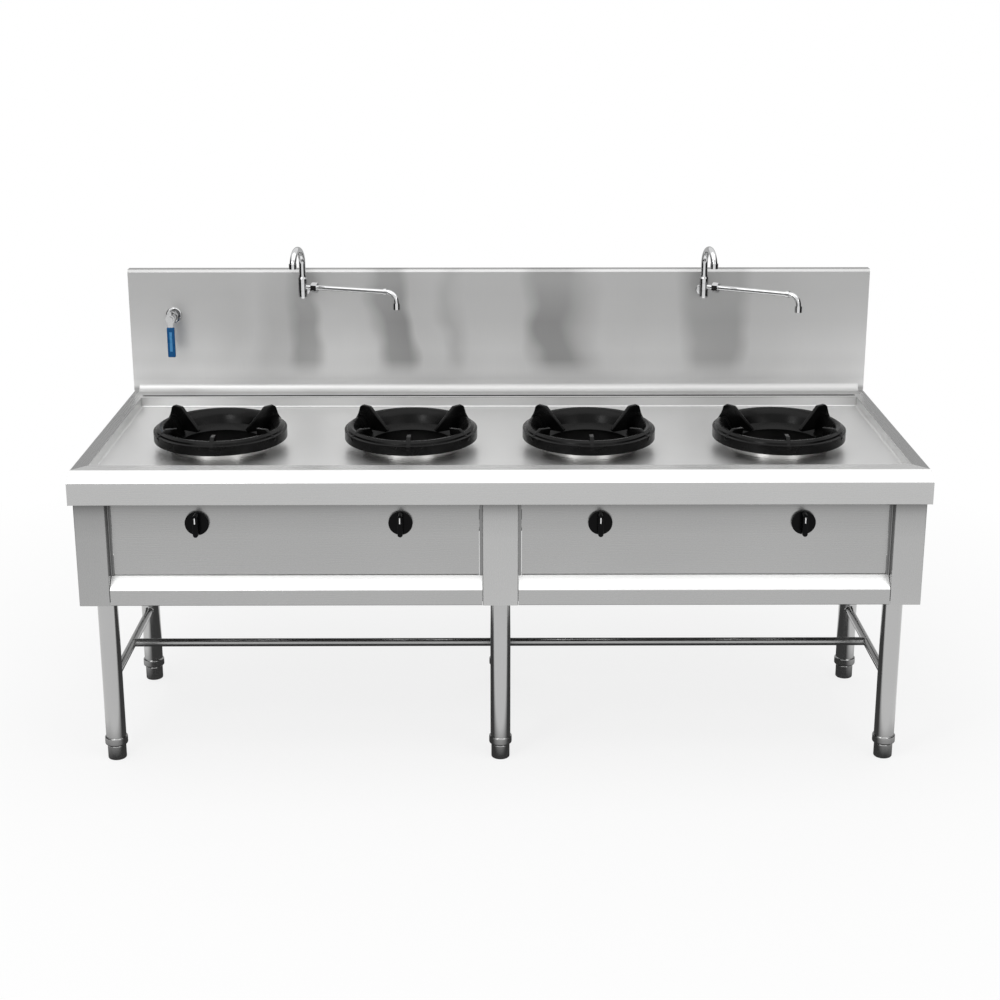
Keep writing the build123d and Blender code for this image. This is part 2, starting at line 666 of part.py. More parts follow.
def make_rear_bracket(x):
    """A gusset that carries the rear of the worktop and the drain trough."""
    step_y = LIP_BACK - TOP_SHEET - BRACKET_TROUGH_GAP
    trough_under = RIM_HEIGHT - TROUGH_DEPTH - TOP_SHEET
    outline = [
        (CARCASS_BACK, DECK_UNDER),
        (step_y, DECK_UNDER),
        (step_y, trough_under),
        (COVER_Y, trough_under),
        (COVER_Y, trough_under - BRACKET_NOSE),
        (CARCASS_BACK, DECK_UNDER - BRACKET_HEIGHT),
    ]
    web = extrude(along_x(x - BRACKET_SHEET / 2) * make_face(Polyline(*outline, close=True)), amount=BRACKET_SHEET)
    flange_x = (x - BRACKET_WIDTH / 2, x + BRACKET_WIDTH / 2)
    web += box(flange_x, (CARCASS_BACK, step_y), (DECK_UNDER - BRACKET_SHEET, DECK_UNDER))
    web += box(flange_x, (step_y, COVER_Y), (trough_under - BRACKET_SHEET, trough_under))
    back_z = (DECK_UNDER - BRACKET_HEIGHT, DECK_UNDER)
    return web + box(flange_x, (CARCASS_BACK, CARCASS_BACK + BRACKET_SHEET), back_z)


def make_leg_beam(x):
    """An upside-down channel from the front to the rear that two legs are welded into."""
    y_range = (POST_FACE + PANEL_SHEET + BEND, CARCASS_BACK - PANEL_SHEET - BEND)
    outer = box((x - BEAM_WIDTH / 2, x + BEAM_WIDTH / 2), y_range, (BEAM_BOTTOM, BEAM_TOP))
    inside = BEAM_WIDTH / 2 - BEAM_SHEET
    return outer - box((x - inside, x + inside), y_range, (BEAM_BOTTOM, LEG_TOP))


# ---- Under frame ----
def make_leg(x, y):
    tube = rod((x, y, SOCKET_TOP), (0, 0, 1), LEG_RADIUS, LEG_TOP - SOCKET_TOP)
    return tube - rod((x, y, SOCKET_TOP), (0, 0, 1), LEG_RADIUS - LEG_WALL, LEG_TOP - SOCKET_TOP)


def make_leg_socket(x, y):
    """The beaded collar at the end of a leg, with its plug and the hole for the foot's stem."""
    collar = rod((x, y, SOCKET_BOTTOM), (0, 0, 1), SOCKET_DIAMETER / 2, SOCKET_HEIGHT)
    collar = fillet(collar.edges().filter_by(GeomType.CIRCLE), SOCKET_BEAD)
    plug_radius = LEG_RADIUS - LEG_WALL - PLUG_CLEARANCE
    socket = collar + rod((x, y, SOCKET_TOP), (0, 0, 1), plug_radius, SOCKET_PLUG)
    bore = STEM_RADIUS + RUNNING_CLEARANCE
    return socket - rod((x, y, SOCKET_BOTTOM), (0, 0, 1), bore, SOCKET_HEIGHT + SOCKET_PLUG)


def make_foot(x, y):
    foot = rod((x, y, 0), (0, 0, 1), FOOT_DIAMETER / 2, SOCKET_BOTTOM)
    foot = fillet(foot.edges().filter_by(GeomType.CIRCLE), FOOT_EDGE)
    return foot + rod((x, y, SOCKET_BOTTOM), (0, 0, 1), STEM_RADIUS, STEM_LENGTH)


def tube_between(start, end):
    """A straight rail tube between two points."""
    direction = Vector(*end) - Vector(*start)
    radius = RAIL_DIAMETER / 2
    tube = rod(start, direction, radius, direction.length)
    return tube - rod(start, direction, radius - RAIL_WALL, direction.length)


def make_leg_rails():
    """Three rails from front to rear legs and two long rails between them."""
    rails = []
    for x in LEG_COLUMNS.values():
        ends = [(x, y, RAIL_HEIGHT) for y in LEG_ROWS.values()]
        rail = tube_between(*ends)
        for y in LEG_ROWS.values():
            rail -= rod((x, y, RAIL_HEIGHT - LEG_DIAMETER), (0, 0, 1), LEG_RADIUS, 2 * LEG_DIAMETER)
        rails.append(rail)
    middle_y = sum(LEG_ROWS.values()) / len(LEG_ROWS)
    columns = list(LEG_COLUMNS.values())
    for left, right in zip(columns, columns[1:]):
        rail = tube_between((left, middle_y, RAIL_HEIGHT), (right, middle_y, RAIL_HEIGHT))
        for x in (left, right):
            saddle_start = (x, middle_y - RAIL_DIAMETER, RAIL_HEIGHT)
            rail -= rod(saddle_start, (0, 1, 0), RAIL_DIAMETER / 2 + WELD_GAP, 2 * RAIL_DIAMETER)
        rails.append(rail)
    return rails


# ---- Cooking ----
def wok_lug(angle, rise):
    """One upright lug, from the outer slope of the ring to a tip over the fire."""
    peak = RING_CREST + rise
    root = RING_CREST - RING_WALL
    outline = FilletPolyline(
        (RING_THROAT_RADIUS + RING_SHELL / 2, root),
        (LUG_FOOT_RADIUS, root),
        (LUG_FOOT_RADIUS - LUG_LEAN, peak - LUG_SHOULDER),
        (LUG_PEAK_RADIUS, peak),
        (LUG_TIP_RADIUS, LUG_TIP_HEIGHT),
        (LUG_TIP_RADIUS + LUG_TIP_DEPTH, LUG_TIP_HEIGHT - LUG_TIP_DEPTH),
        radius=[0, LUG_CROWN, LUG_CROWN, LUG_NOSE],
    )
    face = make_face(Curve() + outline + Line(outline @ 1, outline @ 0))
    plate = extrude(Plane.XZ * face, amount=LUG_WIDTH / 2, both=True)
    return Rot(Z=angle) * plate


def make_wok_ring(centre_x, centre_y):
    """A cast ring: a hollow body and lugs, tilted as one, over a level skirt that drops into the collar."""
    inside = RING_SEAT_RADIUS + RING_SHELL
    outline = [
        (RING_RADIUS, -RING_SKIRT),
        (RING_RADIUS, RING_WALL),
        (RING_CREST_RADIUS, RING_CREST),
        (RING_SEAT_RADIUS, RING_CREST - RING_SEAT_DROP),
        (RING_THROAT_RADIUS, RING_SEAT_STEP),
        (RING_THROAT_RADIUS, -RING_SKIRT),
        (RING_THROAT_RADIUS + RING_SHELL, -RING_SKIRT),
        (RING_THROAT_RADIUS + RING_SHELL, RING_SEAT_STEP),
        (inside, RING_CREST - RING_SEAT_DROP - RING_SHELL),
        (RING_CREST_RADIUS, RING_CREST - RING_SHELL),
        (RING_RADIUS - RING_SHELL, RING_WALL - RING_SHELL / 2),
        (RING_RADIUS - RING_SHELL, -RING_SKIRT),
    ]
    edge = FilletPolyline(*outline, radius=[RING_EDGE, RING_CROWN, RING_EDGE, 0, 0, 0, 0, 0, 0, 0])
    face = make_face(Curve() + edge + Line(outline[-1], outline[0]))
    body = revolve(Plane.XZ * face, axis=Axis.Z)
    lugs = [wok_lug(angle, LUG_RISE_FRONT) for angle in FRONT_LUG_ANGLES]
    lugs += [wok_lug(angle, LUG_RISE_BACK) for angle in BACK_LUG_ANGLES]
    body = Rot(X=RING_TILT) * (body + lugs)
    body -= box((-LENGTH, LENGTH), (-LENGTH, LENGTH), (-LENGTH, 0))
    wall = RING_THROAT_RADIUS - RING_SHELL
    ledge = RING_SHELL - RING_LEDGE_TOP
    skirt = [
        (RING_BORE_RADIUS, -ledge),
        (wall, -ledge),
        (wall, -RING_SKIRT),
        (RING_THROAT_RADIUS, -RING_SKIRT),
        (RING_THROAT_RADIUS, 0),
        (RING_THROAT_RADIUS + RING_SHELL / 2, 0),
        (RING_THROAT_RADIUS + RING_SHELL / 2, RING_LEDGE_TOP),
        (RING_BORE_RADIUS, RING_LEDGE_TOP),
    ]
    return Pos(centre_x, centre_y, RING_BASE) * (body + turned(skirt, 0, 0))


def make_fire_chamber(x, y):
    """A sheet drum through the deck, with a fixing flange below it and a floor that carries the burner."""
    inner = COLLAR_RADIUS - CHAMBER_SHEET
    floor_top = CHAMBER_BOTTOM + CHAMBER_SHEET
    flange_under = DECK_UNDER - CHAMBER_FLANGE_SHEET
    section = [
        (CHAMBER_FLOOR_RADIUS, CHAMBER_BOTTOM),
        (COLLAR_RADIUS, CHAMBER_BOTTOM),
        (COLLAR_RADIUS, flange_under),
        (COLLAR_RADIUS + CHAMBER_FLANGE, flange_under),
        (COLLAR_RADIUS + CHAMBER_FLANGE, DECK_UNDER),
        (COLLAR_RADIUS, DECK_UNDER),
        (COLLAR_RADIUS, RING_BASE),
        (inner, RING_BASE),
        (inner, floor_top),
        (CHAMBER_FLOOR_RADIUS, floor_top),
    ]
    return turned(section, x, y)


def make_burner_head(x, y):
    """A cast burner: a bowl with a ring of jets, on three arms."""
    floor_top = CHAMBER_BOTTOM + CHAMBER_SHEET
    bowl_top = floor_top + BURNER_BOWL_RISE + BURNER_RIM
    edge = FilletPolyline(
        (0, floor_top - BURNER_NECK_DROP),
        (BURNER_NECK_RADIUS, floor_top - BURNER_NECK_DROP),
        (BURNER_NECK_RADIUS, floor_top),
        (BURNER_RADIUS, floor_top + BURNER_BOWL_RISE),
        (BURNER_RADIUS, bowl_top),
        (0, bowl_top),
        radius=[0, BURNER_ROUNDING, BURNER_ROUNDING, BURNER_ROUNDING],
    )
    face = make_face(Curve() + edge + Line(edge @ 1, edge @ 0))
    head = revolve(Plane.XZ * face, axis=Axis.Z)
    arm_end = CHAMBER_FLOOR_RADIUS + BURNER_ARM_LAP
    half = BURNER_ARM_WIDTH / 2
    for index in range(BURNER_ARM_COUNT):
        arm = box((0, arm_end), (-half, half), (floor_top, floor_top + BURNER_ARM_THICKNESS))
        head += Rot(Z=90 + index * 360 / BURNER_ARM_COUNT) * arm
    for index in range(JET_COUNT):
        turn = radians(index * 360 / JET_COUNT)
        jet_at = (JET_CIRCLE * cos(turn), JET_CIRCLE * sin(turn), bowl_top)
        head += hexagon(jet_at, (0, 0, 1), 2 * JET_RADIUS, JET_HEIGHT)
    return Pos(x, y, 0) * head


# ---- Gas ----
def make_gas_manifold():
    """The pipe along the front, round the right end and out through the rear panel."""
    points = [
        (-MANIFOLD_END_X, FRONT + MANIFOLD_Y, KNOB_Z),
        (MANIFOLD_RISER_X, FRONT + MANIFOLD_Y, KNOB_Z),
        (MANIFOLD_RISER_X, FRONT + GAS_INLET_Y - GAS_THREAD_LENGTH, KNOB_Z),
    ]
    manifold = pipe(points, MANIFOLD_RADIUS, MANIFOLD_BEND, MANIFOLD_WALL)
    cap_start = (-MANIFOLD_END_X, FRONT + MANIFOLD_Y, KNOB_Z)
    manifold += rod(cap_start, (-1, 0, 0), MANIFOLD_RADIUS, MANIFOLD_WALL)
    thread = rod(points[-1], (0, 1, 0), GAS_THREAD_RADIUS, GAS_THREAD_LENGTH)
    return manifold + (thread - rod(points[-1], (0, 1, 0), MANIFOLD_RADIUS - MANIFOLD_WALL, GAS_THREAD_LENGTH))


def feed_y():
    return PANEL_FACE + VALVE_FRONT + FEED_SETBACK


def make_gas_valve(x):
    """A valve seated on the manifold, with the feed pipe to its jet."""
    nose_y = PANEL_FACE + VALVE_FRONT
    manifold_y = FRONT + MANIFOLD_Y
    valve = rod((x, nose_y, KNOB_Z), (0, 1, 0), VALVE_RADIUS, manifold_y - nose_y)
    nozzle_y = feed_y() + FEED_REACH - NOZZLE_LENGTH
    valve += pipe([(x, feed_y(), KNOB_Z), (x, feed_y(), MIXER_Z), (x, nozzle_y, MIXER_Z)], FEED_RADIUS, FEED_BEND)
    valve += hexagon((x, nozzle_y, MIXER_Z), (0, 1, 0), NOZZLE_FLATS, NOZZLE_LENGTH)
    valve -= rod((x - VALVE_RADIUS, manifold_y, KNOB_Z), (1, 0, 0), MANIFOLD_RADIUS, 2 * VALVE_RADIUS)
    bore_depth = KNOB_STEM_REACH - KNOB_GAP - VALVE_FRONT + GAP
    return valve - rod((x, nose_y, KNOB_Z), (0, 1, 0), KNOB_STEM_RADIUS + RUNNING_CLEARANCE, bore_depth)


def make_mixing_tube(knob_x, ring_x, ring_y):
    """The air and gas tube from its open mouth at the jet to the neck of the burner."""
    mouth = (knob_x, feed_y() + FEED_REACH + JET_GAP, MIXER_Z)
    top = CHAMBER_BOTTOM + CHAMBER_SHEET - BURNER_NECK_DROP
    tube = pipe([mouth, (ring_x, ring_y, MIXER_Z), (ring_x, ring_y, top)], MIXER_RADIUS, MIXER_BEND)
    heading = Vector(ring_x, ring_y, MIXER_Z) - Vector(*mouth)
    bell = Plane(mouth, z_dir=heading) * Cone(
        MIXER_MOUTH_RADIUS, MIXER_RADIUS, MIXER_MOUTH_LENGTH, align=(Align.CENTER, Align.CENTER, Align.MIN)
    )
    return tube + bell - rod(mouth, heading, MIXER_RADIUS - PANEL_SHEET, 2 * MIXER_MOUTH_LENGTH)


def make_knob(x):
    """A round skirt with an upright bar grip and a stem into its valve."""
    back_y = PANEL_FACE - KNOB_GAP
    skirt = rod((x, back_y, KNOB_Z), (0, -1, 0), KNOB_SKIRT_RADIUS, KNOB_SKIRT)
    skirt = fillet(skirt.edges().filter_by(GeomType.CIRCLE).sort_by(Axis.Y)[0], KNOB_EDGE)
    grip_plane = Plane(origin=(x, back_y - KNOB_SKIRT / 2, KNOB_Z), x_dir=(0, 0, 1), z_dir=(0, -1, 0))
    outline = grip_plane * SlotOverall(KNOB_GRIP_LENGTH, KNOB_GRIP_WIDTH)
    grip = extrude(outline, amount=KNOB_DEPTH - KNOB_SKIRT / 2, taper=KNOB_GRIP_TAPER)
    grip = fillet(grip.faces().sort_by(Axis.Y)[0].edges(), KNOB_EDGE)
    return skirt + grip + rod((x, back_y, KNOB_Z), (0, 1, 0), KNOB_STEM_RADIUS, KNOB_STEM_REACH)


# ---- Water ----
def make_water_valve():
    """The lever valve: body behind the splashback, bonnet, nut and flange in front of it."""
    low = (VALVE_X, PIPE_Y, VALVE_Z - WATER_VALVE_LENGTH / 2)
    body = rod(low, (0, 0, 1), WATER_VALVE_RADIUS, WATER_VALVE_LENGTH)
    front_y = SPLASH_FACE - BONNET_REACH
    body += rod((VALVE_X, front_y, VALVE_Z), (0, 1, 0), BONNET_RADIUS, PIPE_Y - front_y)
    nut_y = SPLASH_FACE - BONNET_NUT_REACH
    body += hexagon((VALVE_X, nut_y, VALVE_Z), (0, -1, 0), BONNET_NUT_FLATS, BONNET_NUT)
    flange = rod((VALVE_X, SPLASH_FACE, VALVE_Z), (0, -1, 0), FLANGE_RADIUS, FLANGE_THICKNESS)
    body += fillet(flange.edges().filter_by(GeomType.CIRCLE).sort_by(Axis.Y)[0], GRIP_EDGE)
    bore = LEVER_STEM_RADIUS + RUNNING_CLEARANCE
    return body - rod((VALVE_X, front_y, VALVE_Z), (0, 1, 0), bore, LEVER_STEM_LENGTH + GAP)


def lever_blade():
    """The hanging part of the lever plate."""
    front_y = SPLASH_FACE - BONNET_REACH - LEVER_STANDOFF - LEVER_SHEET
    half = LEVER_WIDTH / 2
    low = VALVE_Z - LEVER_LENGTH
    return box((VALVE_X - half, VALVE_X + half), (front_y, front_y + LEVER_SHEET), (low, VALVE_Z))


def make_valve_lever():
    """A flat lever with a round hub, its stop tab, nut and stem."""
    bonnet_y = SPLASH_FACE - BONNET_REACH
    back_y = bonnet_y - LEVER_STANDOFF
    lever = lever_blade()
    lever += rod((VALVE_X, back_y, VALVE_Z), (0, -1, 0), LEVER_HUB_RADIUS, LEVER_SHEET)
    half = LEVER_STOP_WIDTH / 2
    stop_top = VALVE_Z + LEVER_HUB_RADIUS + LEVER_STOP_RISE
    lever += box((VALVE_X - half, VALVE_X + half), (back_y - LEVER_SHEET, back_y), (VALVE_Z, stop_top))
    lever += hexagon((VALVE_X, back_y - LEVER_SHEET, VALVE_Z), (0, -1, 0), LEVER_NUT_FLATS, LEVER_NUT)
    return lever + rod((VALVE_X, back_y, VALVE_Z), (0, 1, 0), LEVER_STEM_RADIUS, LEVER_STANDOFF + LEVER_STEM_LENGTH)


def make_valve_grip():
    """The moulded grip pushed over the lever."""
    middle_y = SPLASH_FACE - BONNET_REACH - LEVER_STANDOFF - LEVER_SHEET / 2
    low = VALVE_Z - LEVER_LENGTH - GRIP_END_WALL
    grip = box(
        (VALVE_X - GRIP_WIDTH / 2, VALVE_X + GRIP_WIDTH / 2),
        (middle_y - GRIP_THICKNESS / 2, middle_y + GRIP_THICKNESS / 2),
        (low, low + GRIP_LENGTH),
    )
    return fillet(grip.edges(), GRIP_EDGE) - lever_blade()


def make_water_inlet_pipe():
    """The pipe from its threaded lower end up to the lever valve."""
    start = (VALVE_X, PIPE_Y, WATER_INLET_BOTTOM + WATER_THREAD_LENGTH)
    length = VALVE_Z - WATER_VALVE_LENGTH / 2 - start[2]
    inlet = rod(start, (0, 0, 1), PIPE_RADIUS, length)
    inlet += rod(start, (0, 0, -1), WATER_THREAD_RADIUS, WATER_THREAD_LENGTH)
    bore_start = (VALVE_X, PIPE_Y, WATER_INLET_BOTTOM)
    return inlet - rod(bore_start, (0, 0, 1), PIPE_RADIUS - PIPE_WALL, length + WATER_THREAD_LENGTH)


def make_water_supply_pipe():
    """The pipe from the lever valve along the splashback, with a tee for each faucet."""
    end_x = FAUCET_RIGHT_X + TEE_LENGTH / 2
    supply = pipe(
        [
            (VALVE_X, PIPE_Y, VALVE_Z + WATER_VALVE_LENGTH / 2),
            (VALVE_X, PIPE_Y, WATER_PIPE_Z),
            (end_x, PIPE_Y, WATER_PIPE_Z),
        ],
        PIPE_RADIUS,
        PIPE_BEND,
    )
    for x, _, _ in FAUCETS.values():
        supply += rod((x - TEE_LENGTH / 2, PIPE_Y, WATER_PIPE_Z), (1, 0, 0), TEE_RADIUS, TEE_LENGTH)
        boss = PIPE_Y - SPLASH_FACE - PANEL_SHEET - GAP
        supply += rod((x, PIPE_Y, WATER_PIPE_Z), (0, -1, 0), TEE_RADIUS, boss)
    return supply


def make_faucet_body(x):
    """A barrel with a slim core for the arm's sleeve, a socket for the spout, and a tail through the wall."""
    core_low = ARM_Z - SLEEVE_HEIGHT / 2 - SLEEVE_GAP
    core_high = ARM_Z + SLEEVE_HEIGHT / 2 + SLEEVE_GAP
    section = [
        (0, FAUCET_BOTTOM),
        (FAUCET_FOOT_RADIUS, FAUCET_BOTTOM),
        (FAUCET_RADIUS, FAUCET_BOTTOM + FAUCET_SHOULDER),
        (FAUCET_RADIUS, core_low),
        (SLEEVE_CORE_RADIUS, core_low),
        (SLEEVE_CORE_RADIUS, core_high),
        (FAUCET_RADIUS, core_high),
        (FAUCET_RADIUS, FAUCET_TOP - FAUCET_SHOULDER),
        (FAUCET_SHOULDER_RADIUS, FAUCET_TOP),
        (0, FAUCET_TOP),
    ]
    body = turned(section, x, FAUCET_Y)
    tail_end = SPLASH_FACE + PANEL_SHEET + GAP
    body += rod((x, FAUCET_Y, WATER_PIPE_Z), (0, 1, 0), TAIL_RADIUS, tail_end - FAUCET_Y)
    plate_plane = Plane((x, SPLASH_FACE, WATER_PIPE_Z), z_dir=(0, -1, 0))
    body += plate_plane * Cone(
        ESCUTCHEON_RADIUS, ESCUTCHEON_RADIUS / 2, ESCUTCHEON_THICKNESS, align=(Align.CENTER, Align.CENTER, Align.MIN)
    )
    socket = SPOUT_SPIGOT_RADIUS + RUNNING_CLEARANCE
    return body - rod((x, FAUCET_Y, FAUCET_TOP), (0, 0, -1), socket, SPOUT_SPIGOT + GAP)


def make_spout(x, turn):
    """A gooseneck that turns in the top of its faucet body; turn 0 points to the cook."""
    base = FAUCET_TOP
    shoulder = base + SPOUT_RISE
    far = 2 * SPOUT_BEND
    tip = shoulder - GAP
    path = Curve() + Line((0, base), (0, shoulder)) + CenterArc((SPOUT_BEND, shoulder), SPOUT_BEND, 180, -180)
    path = Plane.XZ * (path + Line((far, shoulder), (far, tip)))
    spout = sweep(Pos(0, 0, base) * Circle(SPOUT_RADIUS), path=path)
    spout += rod((0, 0, base), (0, 0, 1), SPOUT_COLLAR_RADIUS, SPOUT_COLLAR)
    spout += rod((0, 0, base), (0, 0, -1), SPOUT_SPIGOT_RADIUS, SPOUT_SPIGOT)
    spout += rod((far, 0, tip), (0, 0, 1), AERATOR_RADIUS, AERATOR_LENGTH)
    spout -= rod((far, 0, tip), (0, 0, 1), SPOUT_RADIUS - OUTLET_WALL, OUTLET_DEPTH)
    return Pos(x, FAUCET_Y, 0) * Rot(Z=turn - 90) * spout


def make_swing_arm(x, turn):
    """A long arm on a sleeve round the faucet body; turn 0 points to the right."""
    corner = ARM_LENGTH + ARM_ELBOW
    sleeve_low = (0, 0, ARM_Z - SLEEVE_HEIGHT / 2)
    arm = rod(sleeve_low, (0, 0, 1), FAUCET_RADIUS, SLEEVE_HEIGHT)
    arm += rod((0, 0, ARM_Z), (1, 0, 0), ARM_NIPPLE_RADIUS, ARM_NUT_START + ARM_NUT_LENGTH)
    arm += hexagon((ARM_NUT_START, 0, ARM_Z), (1, 0, 0), ARM_NUT_FLATS, ARM_NUT_LENGTH)
    tube_start = ARM_NUT_START + ARM_NUT_LENGTH / 2
    arm += pipe([(tube_start, 0, ARM_Z), (corner, 0, ARM_Z), (corner, 0, ARM_Z - ARM_DROP)], ARM_RADIUS, ARM_ELBOW)
    arm += rod((ARM_LENGTH - ARM_COLLAR_LENGTH, 0, ARM_Z), (1, 0, 0), ARM_COLLAR_RADIUS, ARM_COLLAR_LENGTH)
    arm += rod((corner, 0, ARM_Z - ARM_DROP), (0, 0, 1), ARM_TIP_RADIUS, ARM_TIP_LENGTH)
    arm -= rod((corner, 0, ARM_Z - ARM_DROP), (0, 0, 1), ARM_RADIUS - OUTLET_WALL / 2, OUTLET_DEPTH)
    arm -= rod(sleeve_low, (0, 0, 1), SLEEVE_CORE_RADIUS + RUNNING_CLEARANCE, SLEEVE_HEIGHT)
    return Pos(x, FAUCET_Y, 0) * Rot(Z=turn) * arm


def group(parts):
    """Separate solids of one node."""
    return Compound([solid for part in parts for solid in part.solids()])


def make_all():
    """Every node by name."""
    nodes = {
        "deck_tray": make_deck_tray(),
        "rim_front": make_rim_front(),
        "rim_left": make_rim_side(-1),
        "rim_right": make_rim_side(1),
        "rear_trough": make_rear_trough(),
        "backsplash": make_backsplash(),
        "backsplash_cover": make_backsplash_cover(),
        "post_left": make_corner_post(-1),
        "post_centre": make_centre_post(),
        "post_right": make_corner_post(1),
        "front_panel_left": make_front_panel(-1),
        "front_panel_right": make_front_panel(1),
        "ledge_left": make_ledge(-1),
        "ledge_right": make_ledge(1),
        "side_panel_left": make_side_panel(-1),
        "side_panel_right": make_side_panel(1),
        "rear_panel": make_rear_panel(),
        "rear_brackets": group(make_rear_bracket(x) for x in LEG_COLUMNS.values()),
        "leg_beams": group(make_leg_beam(x) for x in LEG_COLUMNS.values()),
        "leg_rails": group(make_leg_rails()),
        "gas_manifold": make_gas_manifold(),
        "gas_valves": group(make_gas_valve(x) for x in KNOB_XS),
        "mixing_tubes": group(
            make_mixing_tube(knob_x, *centre) for knob_x, centre in zip(KNOB_XS, RING_CENTRES)
        ),
        "burner_heads": group(make_burner_head(*centre) for centre in RING_CENTRES),
        "water_valve": make_water_valve(),
        "valve_lever": make_valve_lever(),
        "valve_grip": make_valve_grip(),
        "water_inlet_pipe": make_water_inlet_pipe(),
        "water_supply_pipe": make_water_supply_pipe(),
    }
    sockets = []
    for row, y in LEG_ROWS.items():
        for column, x in LEG_COLUMNS.items():
            nodes[f"leg_{row}_{column}"] = make_leg(x, y)
            nodes[f"foot_{row}_{column}"] = make_foot(x, y)
            sockets.append(make_leg_socket(x, y))
    nodes["leg_sockets"] = group(sockets)
    for number, (knob_x, centre) in enumerate(zip(KNOB_XS, RING_CENTRES), start=1):
        nodes[f"wok_ring_{number}"] = make_wok_ring(*centre)
        nodes[f"fire_chamber_{number}"] = make_fire_chamber(*centre)
        nodes[f"knob_{number}"] = make_knob(knob_x)
    for side, (x, spout_turn, arm_turn) in FAUCETS.items():
        nodes[f"faucet_body_{side}"] = make_faucet_body(x)
        nodes[f"spout_{side}"] = make_spout(x, spout_turn)
        nodes[f"swing_arm_{side}"] = make_swing_arm(x, arm_turn)
    return nodes


if __name__ == "__main__":
    os.makedirs("parts", exist_ok=True)
    for name, shape in make_all().items():
        export_step(shape, f"parts/{name}.step")
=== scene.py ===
"""Looks of the wok range around its CAD frame, in metres.

First come the shader helpers and the finishes of the CAD nodes. Then come the pieces made here: the cast
rings, the faucets' small wall flanges, the marks on the knobs and the grip, and the weld beads. The light,
the floor and the camera come last.
"""

import math

import bmesh
import bpy
from mathutils import Euler, Matrix, Vector


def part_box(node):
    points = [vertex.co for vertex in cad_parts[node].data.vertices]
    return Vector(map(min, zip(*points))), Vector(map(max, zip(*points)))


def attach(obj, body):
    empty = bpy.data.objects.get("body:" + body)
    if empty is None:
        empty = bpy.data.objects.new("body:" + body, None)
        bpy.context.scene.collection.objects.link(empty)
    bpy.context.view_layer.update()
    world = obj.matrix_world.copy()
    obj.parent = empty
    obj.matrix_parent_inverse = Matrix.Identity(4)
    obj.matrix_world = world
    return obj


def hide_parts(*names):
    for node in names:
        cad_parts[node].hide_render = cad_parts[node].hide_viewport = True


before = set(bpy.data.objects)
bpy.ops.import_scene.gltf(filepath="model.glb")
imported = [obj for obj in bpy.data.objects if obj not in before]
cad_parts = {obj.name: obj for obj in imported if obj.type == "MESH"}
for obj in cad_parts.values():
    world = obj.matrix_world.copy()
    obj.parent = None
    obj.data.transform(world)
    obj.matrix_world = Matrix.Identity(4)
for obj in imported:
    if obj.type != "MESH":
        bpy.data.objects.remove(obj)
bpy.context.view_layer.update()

RINGS = ("1", "2", "3", "4")
SIDES = ("left", "right")
LEGS = [f"{row}_{column}" for row in ("front", "rear") for column in ("left", "centre", "right")]


# ---- Shader helpers ----
class Graph:
    """A material with its shader nodes, built one call at a time."""

    def __init__(self, name):
        self.material = bpy.data.materials.new(name)
        self.material.use_nodes = True
        self.tree = self.material.node_tree
        self.tree.nodes.clear()
        self.output = self.tree.nodes.new("ShaderNodeOutputMaterial")

    def node(self, kind, inputs=None, **settings):
        """Adds a node; an input is a value or the socket to join to it."""
        made = self.tree.nodes.new(kind)
        for key, value in settings.items():
            setattr(made, key, value)
        for key, value in (inputs or {}).items():
            if isinstance(value, bpy.types.NodeSocket):
                self.tree.links.new(value, made.inputs[key])
            else:
                made.inputs[key].default_value = value
        return made

    def principled(self, **inputs):
        """The surface shader; underscores in input names stand for spaces."""
        shader = self.node("ShaderNodeBsdfPrincipled")
        for key, value in inputs.items():
            socket = shader.inputs[key.replace("_", " ")]
            if isinstance(value, bpy.types.NodeSocket):
                self.tree.links.new(value, socket)
            else:
                socket.default_value = value
        self.surface(shader)
        return shader

    def surface(self, shader):
        self.tree.links.new(shader.outputs[0], self.output.inputs["Surface"])

    def noise(self, scale, stretch=(1, 1, 1), detail=2.0, roughness=0.5):
        """Noise in the object's own space, metres, stretched along each axis."""
        where = self.node("ShaderNodeTexCoord").outputs["Object"]
        mapped = self.node("ShaderNodeMapping", {"Vector": where, "Scale": stretch})
        made = self.node(
            "ShaderNodeTexNoise",
            {"Vector": mapped.outputs[0], "Scale": scale, "Detail": detail, "Roughness": roughness},
        )
        return made.outputs["Fac"]

    def place(self, axis):
        """Where a point lies along one axis of the object's own space, in metres."""
        where = self.node("ShaderNodeTexCoord").outputs["Object"]
        return self.node("ShaderNodeSeparateXYZ", {0: where}).outputs[axis]

    def span(self, value, low, high, start=0.3, end=0.7):
        """Maps a factor from start..end to low..high."""
        made = self.node(
            "ShaderNodeMapRange",
            {"Value": value, "From Min": start, "From Max": end, "To Min": low, "To Max": high},
        )
        return made.outputs[0]

    def profile(self, value, stops):
        """A factor from 0 to 1 that follows (value, factor) stops."""
        first, last = stops[0][0], stops[-1][0]
        ramp = self.node("ShaderNodeValToRGB", {0: self.span(value, 0.0, 1.0, first, last)})
        elements = ramp.color_ramp.elements
        elements[0].color = (stops[0][1],) * 3 + (1.0,)
        elements[-1].color = (stops[-1][1],) * 3 + (1.0,)
        for at, factor in stops[1:-1]:
            elements.new((at - first) / (last - first)).color = (factor,) * 3 + (1.0,)
        return ramp.outputs[0]

    def math(self, operation, *values):
        made = self.node("ShaderNodeMath", dict(enumerate(values)), operation=operation)
        return made.outputs[0]

    def grey(self, value, tint=(1.0, 1.0, 1.0)):
        """A colour that is value times tint."""
        made = self.node("ShaderNodeVectorMath", {0: tint, "Scale": value}, operation="SCALE")
        return made.outputs[0]

    def bump(self, height, strength, distance):
        made = self.node(
            "ShaderNodeBump", {"Height": height, "Strength": strength, "Distance": distance}
        )
        return made.outputs[0]


